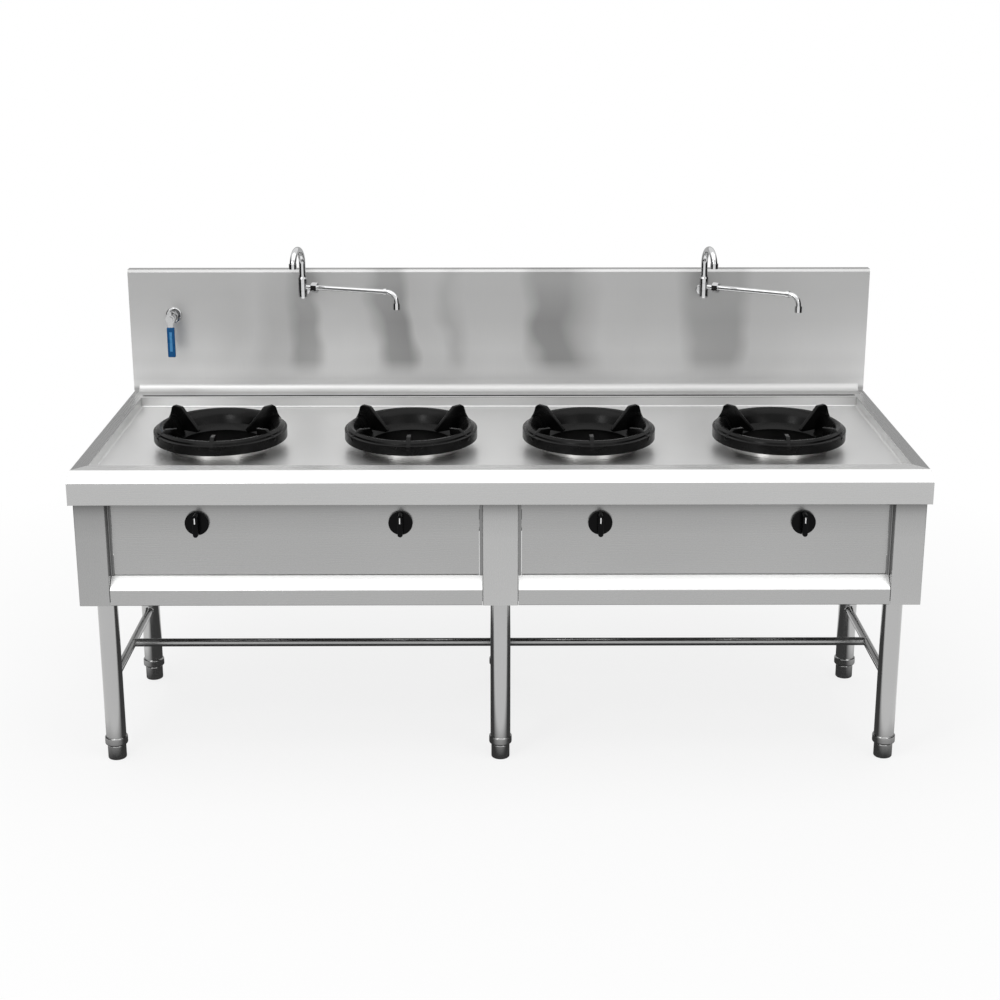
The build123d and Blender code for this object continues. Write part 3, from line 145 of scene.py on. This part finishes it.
GRAIN = {"X": (1.0, 60.0, 60.0), "Y": (60.0, 1.0, 60.0), "Z": (60.0, 60.0, 1.0)}
STEEL_TINT = (1.0, 1.0, 0.995)


def brushed_steel(name, tone, grain="X", roughness=0.27, cloud=0.02, painted_shades=()):
    """Stainless sheet with fine lines; a painted shade is an axis and its (place, share of the tone) stops.
    """
    graph = Graph(name)
    lines = graph.noise(9.0, GRAIN[grain], detail=4.0, roughness=0.7)
    clouds = graph.noise(2.6, detail=3.0)
    value = graph.span(clouds, tone * (1 - cloud), tone * (1 + cloud))
    value = graph.math("MULTIPLY", value, graph.span(lines, 0.99, 1.01))
    # Painted shade: each profile darkens the tone along its axis
    for axis, stops in painted_shades:
        value = graph.math("MULTIPLY", value, graph.profile(graph.place(axis), stops))
    graph.principled(
        Base_Color=graph.grey(value, STEEL_TINT),
        Metallic=1.0,
        Roughness=graph.span(lines, roughness - 0.02, roughness + 0.02),
        Normal=graph.bump(lines, 0.12, 0.00002),
    )
    return graph.material


# The splashback sheet carries painted reflections of a room in broad bands: a share of its tone across, in
# metres from the middle
SPLASH_PAINTED_REFLECTION_BANDS = (
    (-1.0, 0.9), (-0.77, 0.92), (-0.70, 1.0), (-0.64, 0.9), (-0.575, 0.9), (-0.54, 0.62),
    (-0.507, 0.64), (-0.48, 1.0), (-0.37, 0.96), (-0.33, 0.56), (-0.27, 0.52), (-0.235, 0.98),
    (-0.16, 1.0), (-0.12, 0.8), (-0.08, 0.97), (0.08, 0.95), (0.13, 0.54), (0.2, 0.55),
    (0.26, 0.85), (0.31, 1.0), (0.38, 0.94), (0.50, 0.96), (0.55, 0.7), (0.66, 0.68),
    (0.71, 0.98), (0.80, 0.94), (1.0, 0.92),
)
# Up the sheet, in metres above the floor: the strength of the bands, and a share of the tone that paints a
# shadow line at the sheet's foot and painted shade towards the top
BAND_FADE = ((0.82, 0.0), (0.87, 1.0), (0.98, 1.0), (1.1, 0.55))
SPLASH_PAINTED_SHADE_HEIGHTS = (
    (0.769, 0.02), (0.7793, 0.02), (0.7797, 0.8), (0.785, 0.58), (0.79, 0.8),
    (0.796, 1.05), (0.806, 1.05), (0.816, 0.97), (0.838, 1.02), (0.86, 1.0),
    (0.9, 1.0), (0.98, 0.84), (1.06, 0.74), (1.13, 0.7),
)
BAND_WANDER = 0.035


def splash_steel(name, tone):
    """The tall splashback sheet: broad upright light and dark bands of painted reflection, and painted
    shade darker to the top.
    """
    graph = Graph(name)
    wander = graph.noise(4.0)
    across = graph.math("ADD", graph.place("X"), graph.span(wander, -BAND_WANDER, BAND_WANDER))
    height = graph.place("Z")
    fade = graph.profile(height, BAND_FADE)
    # Painted reflection: the bands darken the tone across the sheet, faded by height
    dimmed = graph.math("SUBTRACT", 1.0, graph.profile(across, SPLASH_PAINTED_REFLECTION_BANDS))
    bands = graph.math("SUBTRACT", 1.0, graph.math("MULTIPLY", dimmed, fade))
    value = graph.math("MULTIPLY", bands, tone)
    # Painted shade up the sheet, with a painted shadow line at its foot
    value = graph.math("MULTIPLY", value, graph.profile(height, SPLASH_PAINTED_SHADE_HEIGHTS))
    lines = graph.noise(9.0, GRAIN["Z"], detail=4.0, roughness=0.7)
    value = graph.math("MULTIPLY", value, graph.span(lines, 0.985, 1.015))
    graph.principled(
        Base_Color=graph.grey(value, STEEL_TINT),
        Metallic=1.0,
        Roughness=graph.span(lines, 0.42, 0.46),
        Normal=graph.bump(lines, 0.2, 0.00002),
    )
    return graph.material


def chrome(name, tone=0.66, roughness=0.05):
    """Polished plate with faint water marks."""
    graph = Graph(name)
    marks = graph.noise(60.0, detail=3.0)
    value = graph.span(marks, tone * 0.94, tone)
    graph.principled(
        Base_Color=graph.grey(value, (0.99, 0.995, 1.0)),
        Metallic=1.0,
        Roughness=graph.span(marks, roughness, roughness + 0.04),
    )
    return graph.material


def cast_iron(name):
    """Black castings: sandy skin, a little shine where it is rubbed."""
    graph = Graph(name)
    sand = graph.noise(900.0, detail=3.0, roughness=0.6)
    pits = graph.noise(160.0, detail=4.0, roughness=0.6)
    worn = graph.noise(24.0, detail=3.0)
    height = graph.math("ADD", sand, graph.math("MULTIPLY", pits, 2.0))
    value = graph.span(worn, 0.001, 0.004)
    graph.principled(
        Base_Color=graph.grey(value, (1.0, 0.99, 0.97)),
        Metallic=0.0,
        Roughness=graph.span(worn, 0.2, 0.3),
        Normal=graph.bump(height, 0.4, 0.0001),
        Specular_IOR_Level=0.13,
    )
    return graph.material


def plastic(name, colour, roughness=0.2, shine=0.5, orange=0.1):
    """Moulded plastic with a faint orange peel."""
    graph = Graph(name)
    peel = graph.noise(500.0, detail=1.0)
    wear = graph.noise(60.0, detail=3.0)
    shade = graph.span(wear, 0.9, 1.1)
    graph.principled(
        Base_Color=graph.grey(shade, colour),
        Roughness=graph.span(wear, roughness, roughness + 0.08),
        Normal=graph.bump(peel, orange, 0.00005),
        Specular_IOR_Level=shine,
    )
    return graph.material


def brass(name):
    graph = Graph(name)
    stain = graph.noise(40.0, detail=4.0)
    graph.principled(
        Base_Color=graph.grey(graph.span(stain, 0.6, 1.0), (0.72, 0.52, 0.24)),
        Metallic=1.0,
        Roughness=graph.span(stain, 0.25, 0.42),
    )
    return graph.material


COLLAR_STEEL = 0.6
THROAT_RADIUS = 0.1292


def chamber_steel(name, centre):
    """A fire chamber: a clean steel collar outside the throat's radius, soot inside it."""
    graph = Graph(name)
    across = graph.math("SUBTRACT", graph.place("X"), centre.x)
    along = graph.math("SUBTRACT", graph.place("Y"), centre.y)
    square = graph.math("MULTIPLY", along, along)
    radius = graph.math("SQRT", graph.math("MULTIPLY_ADD", across, across, square))
    outside = graph.math("GREATER_THAN", radius, THROAT_RADIUS)
    soot = graph.span(graph.noise(9.0, detail=4.0), 0.015, 0.05)
    value = graph.math("ADD", soot, graph.math("MULTIPLY", outside, COLLAR_STEEL))
    graph.principled(
        Base_Color=graph.grey(value, (1.0, 0.99, 0.97)),
        Metallic=1.0,
        Roughness=graph.span(outside, 0.6, 0.28, 0.0, 1.0),
    )
    return graph.material


# ---- Finishes ----
deck_low, deck_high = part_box("deck_tray")
trough_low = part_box("rear_trough")[0]
rim_low, rim_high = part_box("rim_front")
ledge_low, ledge_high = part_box("ledge_left")
post_low, post_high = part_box("post_left")
# Painted shading on the deck: its tone from front to back, with a painted dark line of shade where it bends
# up at its rear
DECK_PAINTED_SHADE_STOPS = (
    (deck_low.y, 0.97), (-0.2, 0.9), (0.0, 0.84), (0.2, 0.79), (0.326, 0.77),
    (0.333, 0.57), (0.341, 0.57), (0.345, 0.82), (deck_high.y, 0.82),
)
# The trough is painted dark inside its mouth, as shade in the recess
TROUGH_PAINTED_SHADE_STOPS = (
    (trough_low.z, 1.0), (0.755, 1.0), (0.765, 0.03), (0.7785, 0.03), (0.7795, 1.0), (0.79, 1.0),
)
# Painted shade: the apron is darker than the sloped edge above it, and a ledge's upright face than its
# slope
FOLD = 0.001
BEVEL_Z = rim_high.z - 0.0205
APRON_PAINTED_SHADE = 0.635
RIM_PAINTED_SHADE_STOPS = ((rim_low.z, APRON_PAINTED_SHADE), (BEVEL_Z - FOLD, APRON_PAINTED_SHADE), (BEVEL_Z, 1.0), (rim_high.z, 1.0))
LEDGE_Z = ledge_low.z + 0.0405
LEDGE_FACE_PAINTED_SHADE = 0.54
LEDGE_PAINTED_SHADE_STOPS = ((ledge_low.z, LEDGE_FACE_PAINTED_SHADE), (LEDGE_Z - FOLD, LEDGE_FACE_PAINTED_SHADE), (LEDGE_Z, 1.0), (ledge_high.z, 1.0))
# Painted shade: panels and posts darken close under the apron
UNDER = rim_low.z
UNDER_APRON_PAINTED_SHADE_STOPS = (
    (UNDER - 0.3, 1.0), (UNDER - 0.1, 0.95), (UNDER - 0.055, 0.86), (UNDER - 0.042, 0.8),
    (UNDER - 0.032, 0.71), (UNDER - 0.022, 0.58), (UNDER - 0.012, 0.42), (UNDER + 0.08, 0.34),
)
# Painted shade: the folded side of a post, behind its face, is darker, and so are the two end posts
RETURN_PAINTED_SHADE = 0.55
RETURN_PAINTED_SHADE_STOPS = (
    (post_low.y - 0.01, 1.0), (post_low.y + 0.003, 1.0),
    (post_low.y + 0.006, RETURN_PAINTED_SHADE), (post_high.y + 0.01, RETURN_PAINTED_SHADE),
)
END_POSTS_PAINTED_SHADE_STOPS = ((-1.0, 0.8), (-0.5, 1.0), (0.5, 1.0), (1.0, 0.93))
POST_PAINTED_SHADES = (("Z", UNDER_APRON_PAINTED_SHADE_STOPS), ("Y", RETURN_PAINTED_SHADE_STOPS), ("X", END_POSTS_PAINTED_SHADE_STOPS))

MATERIALS = {
    "deck": brushed_steel("deck_steel", 0.88, "X", roughness=0.4, painted_shades=[("Y", DECK_PAINTED_SHADE_STOPS)]),
    "trough": brushed_steel("trough_steel", 0.6, "X", roughness=0.3, painted_shades=[("Z", TROUGH_PAINTED_SHADE_STOPS)]),
    "rim_front": brushed_steel("rim_front_steel", 0.8, "X", painted_shades=[("Z", RIM_PAINTED_SHADE_STOPS)]),
    "rim_side": brushed_steel("rim_side_steel", 0.42, "Y", cloud=0.05),
    "post": brushed_steel("post_steel", 0.5, "Z", painted_shades=POST_PAINTED_SHADES),
    "panel": brushed_steel("panel_steel", 0.43, "X", painted_shades=[("Z", UNDER_APRON_PAINTED_SHADE_STOPS)]),
    "ledge": brushed_steel("ledge_steel", 0.8, "X", painted_shades=[("Z", LEDGE_PAINTED_SHADE_STOPS)]),
    "side": brushed_steel("side_steel", 0.45, "Z"),
    "inner": brushed_steel("inner_steel", 0.4, "X", roughness=0.36, cloud=0.05),
    "splash": splash_steel("splash_sheet", 0.68),
    "tube": brushed_steel("tube_steel", 0.46, "Z", roughness=0.15, cloud=0.04),
    "rail": brushed_steel("rail_steel", 0.36, "X", roughness=0.22, cloud=0.04),
    "foot": brushed_steel("foot_steel", 0.4, "Z", roughness=0.2, cloud=0.06),
    "pipe": brushed_steel("pipe_steel", 0.4, "X", roughness=0.35, cloud=0.06),
    "chrome": chrome("chrome_plate"),
    "satin_chrome": chrome("satin_chrome", 0.55, 0.12),
    "iron": cast_iron("cast_iron_black"),
    "knob": plastic("knob_black", (0.0015, 0.0015, 0.002), 0.16, shine=0.08),
    "white": plastic("marker_white", (0.8, 0.8, 0.8), 0.3),
    "grip": plastic("grip_blue", (0.004, 0.07, 0.2), 0.25, shine=0.15, orange=0.3),
    # Lighter blue as a painted highlight on the grip's front
    "grip_painted_highlight": plastic("grip_painted_highlight", (0.05, 0.22, 0.45), 0.25, shine=0.3),
    "brass": brass("brass_turned"),
}

NODE_FINISH = {
    "deck_tray": "deck",
    "rear_trough": "trough",
    "rim_front": "rim_front",
    "rim_left": "rim_side",
    "rim_right": "rim_side",
    "backsplash": "splash",
    "backsplash_cover": "side",
    "post_left": "post",
    "post_centre": "post",
    "post_right": "post",
    "front_panel_left": "panel",
    "front_panel_right": "panel",
    "ledge_left": "ledge",
    "ledge_right": "ledge",
    "side_panel_left": "side",
    "side_panel_right": "side",
    "rear_panel": "side",
    "rear_brackets": "inner",
    "leg_beams": "inner",
    "leg_sockets": "foot",
    "leg_rails": "rail",
    "gas_manifold": "pipe",
    "gas_valves": "brass",
    "mixing_tubes": "iron",
    "burner_heads": "iron",
    "water_valve": "satin_chrome",
    "valve_lever": "satin_chrome",
    "valve_grip": "grip",
    "water_inlet_pipe": "pipe",
    "water_supply_pipe": "pipe",
}
for leg in LEGS:
    NODE_FINISH[f"leg_{leg}"] = "tube"
    NODE_FINISH[f"foot_{leg}"] = "foot"
for number in RINGS:
    ring_low, ring_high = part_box(f"wok_ring_{number}")
    chamber = f"chamber_steel_{number}"
    MATERIALS[chamber] = chamber_steel(chamber, (ring_low + ring_high) / 2)
    NODE_FINISH[f"wok_ring_{number}"] = "iron"
    NODE_FINISH[f"fire_chamber_{number}"] = chamber
    NODE_FINISH[f"knob_{number}"] = "knob"
for side in SIDES:
    for piece in ("faucet_body", "spout", "swing_arm"):
        NODE_FINISH[f"{piece}_{side}"] = "chrome"

SMOOTH_ANGLE = math.radians(32)


def smooth_shading(mesh):
    """Smooth shading with sharp edges where faces meet at more than the angle."""
    mesh.polygons.foreach_set("use_smooth", [True] * len(mesh.polygons))
    mesh.set_sharp_from_angle(angle=SMOOTH_ANGLE)


def finish_nodes():
    for node, finish in NODE_FINISH.items():
        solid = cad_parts[node]
        solid.data.materials.clear()
        solid.data.materials.append(MATERIALS[finish])


finish_nodes()


# ---- Pieces ----
def add_piece(name, mesh, body, material):
    """Puts a mesh in the scene as a piece that rides on a body."""
    piece = bpy.data.objects.new(name, mesh)
    bpy.context.scene.collection.objects.link(piece)
    mesh.materials.clear()
    mesh.materials.append(MATERIALS[material])
    smooth_shading(mesh)
    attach(piece, body)
    return piece


def rounded_bar(name, size, edge, centre):
    """A small bar with rounded edges, its corners eased by edge."""
    shape = bmesh.new()
    bmesh.ops.create_cube(shape, size=1.0)
    bmesh.ops.scale(shape, vec=size, verts=shape.verts)
    bmesh.ops.bevel(
        shape, geom=shape.edges[:], offset=edge, segments=3, profile=0.5, affect="EDGES"
    )
    bmesh.ops.translate(shape, vec=centre, verts=shape.verts)
    mesh = bpy.data.meshes.new(name)
    shape.to_mesh(mesh)
    shape.free()
    return mesh


BEAD_RIPPLE = 1.7
BEAD_SWELL = 0.18


def closed_bead(name, points, radius, sides=8):
    """A bead of weld metal along a closed run of points."""
    count = len(points)
    middle = sum(points, Vector()) / count
    rows = []
    for index, point in enumerate(points):
        along = (points[(index + 1) % count] - points[index - 1]).normalized()
        outward = (point - middle).normalized()
        outward = (outward - along * outward.dot(along)).normalized()
        side = along.cross(outward)
        swell = radius * (1 + BEAD_SWELL * math.sin(index * BEAD_RIPPLE))
        for step in range(sides):
            turn = 2 * math.pi * step / sides
            rows.append(point + (outward * math.cos(turn) + side * math.sin(turn)) * swell)
    faces = []
    for index in range(count):
        for step in range(sides):
            after = (index + 1) % count
            turn = (step + 1) % sides
            faces.append(
                (index * sides + step, index * sides + turn, after * sides + turn, after * sides + step)
            )
    mesh = bpy.data.meshes.new(name)
    mesh.from_pydata(rows, [], faces)
    mesh.validate()
    return mesh


# The cast ring's section from the outer foot over the crest to the throat: radius, height
RING_SECTION = (
    (0.1705, 0.005), (0.172, 0.005), (0.172, 0.029), (0.1665, 0.031), (0.1645, 0.035), (0.157, 0.0395),
    (0.151, 0.0392), (0.143, 0.0355), (0.134, 0.022), (0.1265, 0.005), (0.121, 0.0025),
    (0.108, -0.006), (0.106, -0.008), (0.126, -0.008), (0.126, 0.0),
)
RING_STEPS = 144
RING_TILT = math.radians(2)
# Outlines of the lugs in the same terms; each stands at its angle, seen from above
LUG_HALF = 0.0055
LUG_EDGE = 0.0016
FRONT_LUG = (
    (0.1732, 0.019), (0.1732, 0.0275), (0.149, 0.047), (0.119, 0.046), (0.124, 0.012), (0.150, 0.010),
)
BACK_LUG = (
    (0.170, 0.022), (0.170, 0.0315), (0.159, 0.046), (0.156, 0.065), (0.148, 0.0705), (0.125, 0.0685),
    (0.070, 0.012), (0.075, 0.006), (0.130, 0.006),
)
LUGS = ((210, FRONT_LUG), (270, FRONT_LUG), (330, FRONT_LUG), (30, BACK_LUG), (150, BACK_LUG))


def ring_casting(name, tilt):
    """One casting about its own centre: a turned ring with five upright lugs, tipped forward."""
    shape = bmesh.new()
    rings = []
    for step in range(RING_STEPS):
        turn = 2 * math.pi * step / RING_STEPS
        east, north = math.cos(turn), math.sin(turn)
        rings.append([shape.verts.new((r * east, r * north, z)) for r, z in RING_SECTION])
    for step in range(RING_STEPS):
        here, after = rings[step], rings[(step + 1) % RING_STEPS]
        for index in range(len(RING_SECTION)):
            follow = (index + 1) % len(RING_SECTION)
            shape.faces.new((here[index], after[index], after[follow], here[follow]))
    for degrees, outline in LUGS:
        around = Matrix.Rotation(math.radians(degrees), 4, "Z")
        sides = [
            [shape.verts.new(around @ Vector((r, side * LUG_HALF, z))) for r, z in outline]
            for side in (-1, 1)
        ]
        made = [shape.faces.new(sides[0]), shape.faces.new(reversed(sides[1]))]
        for index in range(len(outline)):
            follow = (index + 1) % len(outline)
            made.append(
                shape.faces.new((sides[0][index], sides[1][index], sides[1][follow], sides[0][follow]))
            )
        edges = list({edge for face in made for edge in face.edges})
        bmesh.ops.bevel(shape, geom=edges, offset=LUG_EDGE, segments=2, profile=0.5, affect="EDGES")
    bmesh.ops.recalc_face_normals(shape, faces=shape.faces)
    bmesh.ops.rotate(shape, cent=(0, 0, 0), matrix=Matrix.Rotation(tilt, 3, "X"), verts=shape.verts)
    mesh = bpy.data.meshes.new(name)
    shape.to_mesh(mesh)
    shape.free()
    mesh.materials.append(MATERIALS["iron"])
    smooth_shading(mesh)
    return mesh


def build_cast_rings():
    """The four castings, each on its collar and in place of its plainer CAD node."""
    casting = ring_casting("wok_ring_casting", RING_TILT)
    for number in RINGS:
        node = f"wok_ring_{number}"
        low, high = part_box(f"fire_chamber_{number}")
        piece = bpy.data.objects.new(f"cast_ring_{number}", casting)
        piece.location = ((low.x + high.x) / 2, (low.y + high.y) / 2, high.z)
        bpy.context.scene.collection.objects.link(piece)
        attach(piece, node)
        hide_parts(node)


# The rear of a faucet body, from this far before its end, is narrowed about the wide flange's axis
FLANGE_REACH = 0.0107
FLANGE_RADIUS = 0.026
FLANGE_SHARE = 0.54


def build_faucet_bodies():
    """The faucet bodies with the small wall flange of the photograph in place of the wide one."""
    for side in SIDES:
        node = f"faucet_body_{side}"
        low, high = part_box(node)
        axis_x, axis_z = (low.x + high.x) / 2, low.z + FLANGE_RADIUS
        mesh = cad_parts[node].data.copy()
        for vertex in mesh.vertices:
            if vertex.co.y > high.y - FLANGE_REACH:
                vertex.co.x = axis_x + (vertex.co.x - axis_x) * FLANGE_SHARE
                vertex.co.z = axis_z + (vertex.co.z - axis_z) * FLANGE_SHARE
        piece = add_piece(f"faucet_barrel_{side}", mesh, "frame", "chrome")
        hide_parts(node)


KNOB_LINE = (0.0028, 0.0008, 0.015)
KNOB_LINE_EDGE = 0.00035
KNOB_LINE_LEFT = 0.0005
KNOB_LINE_UP = 0.0145


def build_knob_marks():
    """The white pointer line on the grip of each knob."""
    for number in RINGS:
        node = f"knob_{number}"
        low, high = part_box(node)
        middle = (low + high) / 2
        place = Vector((middle.x - KNOB_LINE_LEFT, low.y, middle.z + KNOB_LINE_UP))
        mesh = rounded_bar(f"knob_line_{number}", KNOB_LINE, KNOB_LINE_EDGE, place)
        add_piece(f"knob_line_{number}", mesh, node, "white")


GRIP_PANEL_WIDTH = 0.0075
GRIP_PANEL_DEPTH = 0.0016
GRIP_PANEL_EDGE = 0.0007
GRIP_PANEL_SHARE = 0.65
GRIP_PANEL_UP = 0.002


def build_grip_stripe():
    """The raised panel along the front of the valve grip, coloured lighter blue as a painted highlight."""
    low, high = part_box("valve_grip")
    middle = (low + high) / 2
    size = (GRIP_PANEL_WIDTH, GRIP_PANEL_DEPTH, (high.z - low.z) * GRIP_PANEL_SHARE)
    place = Vector((middle.x, low.y, middle.z + GRIP_PANEL_UP))
    mesh = rounded_bar("valve_grip_panel", size, GRIP_PANEL_EDGE, place)
    add_piece("valve_grip_panel", mesh, "valve_lever", "grip_painted_highlight")


WELD_RADIUS = 0.0016
WELD_STEPS = 40


def build_welds():
    """Weld beads where the rails meet the legs."""
    rail_low, rail_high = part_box("leg_rails")
    rail_z = (rail_low.z + rail_high.z) / 2
    rail_radius = (rail_high.z - rail_low.z) / 2
    for leg in LEGS:
        low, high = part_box(f"leg_{leg}")
        middle = (low + high) / 2
        leg_radius = (high.x - low.x) / 2
        toward = 1.0 if leg.startswith("front") else -1.0
        points = []
        for step in range(WELD_STEPS):
            turn = 2 * math.pi * step / WELD_STEPS
            x = rail_radius * math.sin(turn)
            y = toward * math.sqrt(leg_radius**2 - x**2)
            points.append(Vector((middle.x + x, middle.y + y, rail_z + rail_radius * math.cos(turn))))
        mesh = closed_bead(f"rail_weld_{leg}", points, WELD_RADIUS)
        add_piece(f"rail_weld_{leg}", mesh, "frame", "tube")


build_cast_rings()
build_faucet_bodies()
build_knob_marks()
build_grip_stripe()
build_welds()


# ---- Light, floor and camera ----
WORLD_LIGHT = 0.65
LAMP_TARGET = Vector((0.0, 0.0, 0.7))
# Name, place, size and watts of each soft box
LAMPS = (
    ("top_softbox", (0.0, -0.6, 3.4), (4.5, 2.2), 35.0),
    ("front_left_softbox", (-3.2, -4.2, 2.6), (2.0, 2.0), 22.0),
    ("front_right_softbox", (3.2, -4.2, 2.6), (2.0, 2.0), 22.0),
    ("small_key", (-1.5, -2.5, 3.0), (0.6, 0.6), 12.0),
)


def area_light(name, place, size, watts):
    data = bpy.data.lights.new(name, "AREA")
    data.shape = "RECTANGLE"
    data.size, data.size_y = size
    data.energy = watts
    lamp = bpy.data.objects.new(name, data)
    lamp.location = place
    lamp.rotation_euler = (LAMP_TARGET - Vector(place)).to_track_quat("-Z", "Y").to_euler()
    lamp.visible_camera = False
    bpy.context.scene.collection.objects.link(lamp)


def build_world():
    """Plain white for camera, mirror and glass rays; a softer level for the light itself."""
    world = bpy.data.worlds.new("studio")
    bpy.context.scene.world = world
    world.use_nodes = True
    tree = world.node_tree
    tree.nodes.clear()
    output = tree.nodes.new("ShaderNodeOutputWorld")
    mix = tree.nodes.new("ShaderNodeMixShader")
    seen = tree.nodes.new("ShaderNodeBackground")
    seen.inputs["Color"].default_value = (1.0, 1.0, 1.0, 1.0)
    seen.inputs["Strength"].default_value = 1.0
    light = tree.nodes.new("ShaderNodeBackground")
    light.inputs["Color"].default_value = (1.0, 1.0, 1.0, 1.0)
    light.inputs["Strength"].default_value = WORLD_LIGHT
    path = tree.nodes.new("ShaderNodeLightPath")
    mirror = tree.nodes.new("ShaderNodeMath")
    mirror.operation = "MAXIMUM"
    either = tree.nodes.new("ShaderNodeMath")
    either.operation = "MAXIMUM"
    tree.links.new(path.outputs["Is Glossy Ray"], mirror.inputs[0])
    tree.links.new(path.outputs["Is Transmission Ray"], mirror.inputs[1])
    tree.links.new(path.outputs["Is Camera Ray"], either.inputs[0])
    tree.links.new(mirror.outputs[0], either.inputs[1])
    tree.links.new(either.outputs[0], mix.inputs[0])
    tree.links.new(light.outputs[0], mix.inputs[1])
    tree.links.new(seen.outputs[0], mix.inputs[2])
    tree.links.new(mix.outputs[0], output.inputs["Surface"])


def flat_sheet(name, corners, material):
    mesh = bpy.data.meshes.new(name)
    mesh.from_pydata(corners, [], [(0, 1, 2, 3)])
    mesh.materials.append(material)
    sheet = bpy.data.objects.new(name, mesh)
    bpy.context.scene.collection.objects.link(sheet)
    return sheet


FLOOR_REACH = 60.0
FLOOR_GREY = 0.92
# What the camera sees of the floor is partly plain white, wholly so beyond the range's shadow
WHITE_NEAR, WHITE_FAR = (1.2, 0.8), (2.6, 1.0)
# Metal mirrors a painted shadow on the floor within the first bounds of the range, fading out at the second
UNDER_X, UNDER_Y, UNDER_PAINTED_SHADOW = (1.0, 1.25), (0.42, 0.6), 0.92


def build_floor():
    """A pale floor that keeps the range's shadow; metal mirrors it white, with a painted shadow under the
    range.
    """
    graph = Graph("floor_white")
    where = graph.node("ShaderNodeTexCoord").outputs["Object"]
    distance = graph.node("ShaderNodeVectorMath", {0: where}, operation="LENGTH").outputs["Value"]
    across = graph.span(graph.math("ABSOLUTE", graph.place("X")), 1.0, 0.0, *UNDER_X)
    along = graph.span(graph.math("ABSOLUTE", graph.place("Y")), 1.0, 0.0, *UNDER_Y)
    under = graph.math("MULTIPLY", across, along)
    path = graph.node("ShaderNodeLightPath").outputs
    mirror = graph.math("MAXIMUM", path["Is Glossy Ray"], path["Is Transmission Ray"])
    (near, near_share), (far, far_share) = WHITE_NEAR, WHITE_FAR
    whiteness = graph.span(distance, near_share, far_share, near, far)
    seen = graph.math("MULTIPLY", path["Is Camera Ray"], whiteness)
    # Painted shadow under the range, seen only by mirror and glass rays
    dark = graph.math("MULTIPLY", mirror, UNDER_PAINTED_SHADOW)
    level = graph.math("SUBTRACT", 1.0, graph.math("MULTIPLY", under, dark))
    diffuse = graph.node("ShaderNodeBsdfDiffuse", {"Color": (FLOOR_GREY, FLOOR_GREY, FLOOR_GREY, 1.0)})
    white = graph.node("ShaderNodeEmission", {"Color": (1.0, 1.0, 1.0, 1.0), "Strength": level})
    share = graph.math("ADD", seen, mirror)
    mix = graph.node("ShaderNodeMixShader", {0: share, 1: diffuse.outputs[0], 2: white.outputs[0]})
    graph.surface(mix)
    reach = FLOOR_REACH
    corners = [(-reach, -reach, 0), (reach, -reach, 0), (reach, reach, 0), (-reach, reach, 0)]
    flat_sheet("floor", corners, graph.material)


FLAG_X, FLAG_FRONT, FLAG_BACK, FLAG_TOP = 3.3, -3.6, 2.6, 2.6
GREY_FLAG, BLACK_FLAG = 0.55, 0.02


def build_flags():
    """Screens behind and beside the range, which only metal mirrors: grey behind, black beside."""

    def upright(start, end):
        return [(*start, 0), (*end, 0), (*end, FLAG_TOP), (*start, FLAG_TOP)]

    screens = {
        "flag_back": (GREY_FLAG, upright((-FLAG_X, FLAG_BACK), (FLAG_X, FLAG_BACK))),
        "flag_left": (BLACK_FLAG, upright((-FLAG_X, FLAG_FRONT), (-FLAG_X, FLAG_BACK))),
        "flag_right": (BLACK_FLAG, upright((FLAG_X, FLAG_FRONT), (FLAG_X, FLAG_BACK))),
    }
    for name, (level, corners) in screens.items():
        graph = Graph(name)
        graph.surface(graph.node("ShaderNodeEmission", {"Strength": level}))
        screen = flat_sheet(name, corners, graph.material)
        screen.visible_camera = False
        screen.visible_diffuse = False
        screen.visible_shadow = False
        screen.visible_transmission = False


# The photograph's camera, found by fitting the range's corners
CAMERA_PLACE = (-0.0204, -4.6413, 1.9763)
CAMERA_LENS = 64.89
PITCH_DOWN, YAW_RIGHT, ROLL = 16.7745, 0.265, 0.014


def build_camera():
    data = bpy.data.cameras.new("camera")
    data.lens = CAMERA_LENS
    data.sensor_width = 36.0
    data.clip_end = 200.0
    camera = bpy.data.objects.new("camera", data)
    camera.location = CAMERA_PLACE
    camera.rotation_euler = Euler(
        (math.radians(90 - PITCH_DOWN), math.radians(ROLL), math.radians(-YAW_RIGHT)), "XYZ"
    )
    bpy.context.scene.collection.objects.link(camera)
    bpy.context.scene.camera = camera


build_world()
build_floor()
build_flags()
for lamp_name, lamp_place, lamp_size, lamp_watts in LAMPS:
    area_light(lamp_name, lamp_place, lamp_size, lamp_watts)
build_camera()
bpy.context.scene.view_settings.view_transform = "Standard"
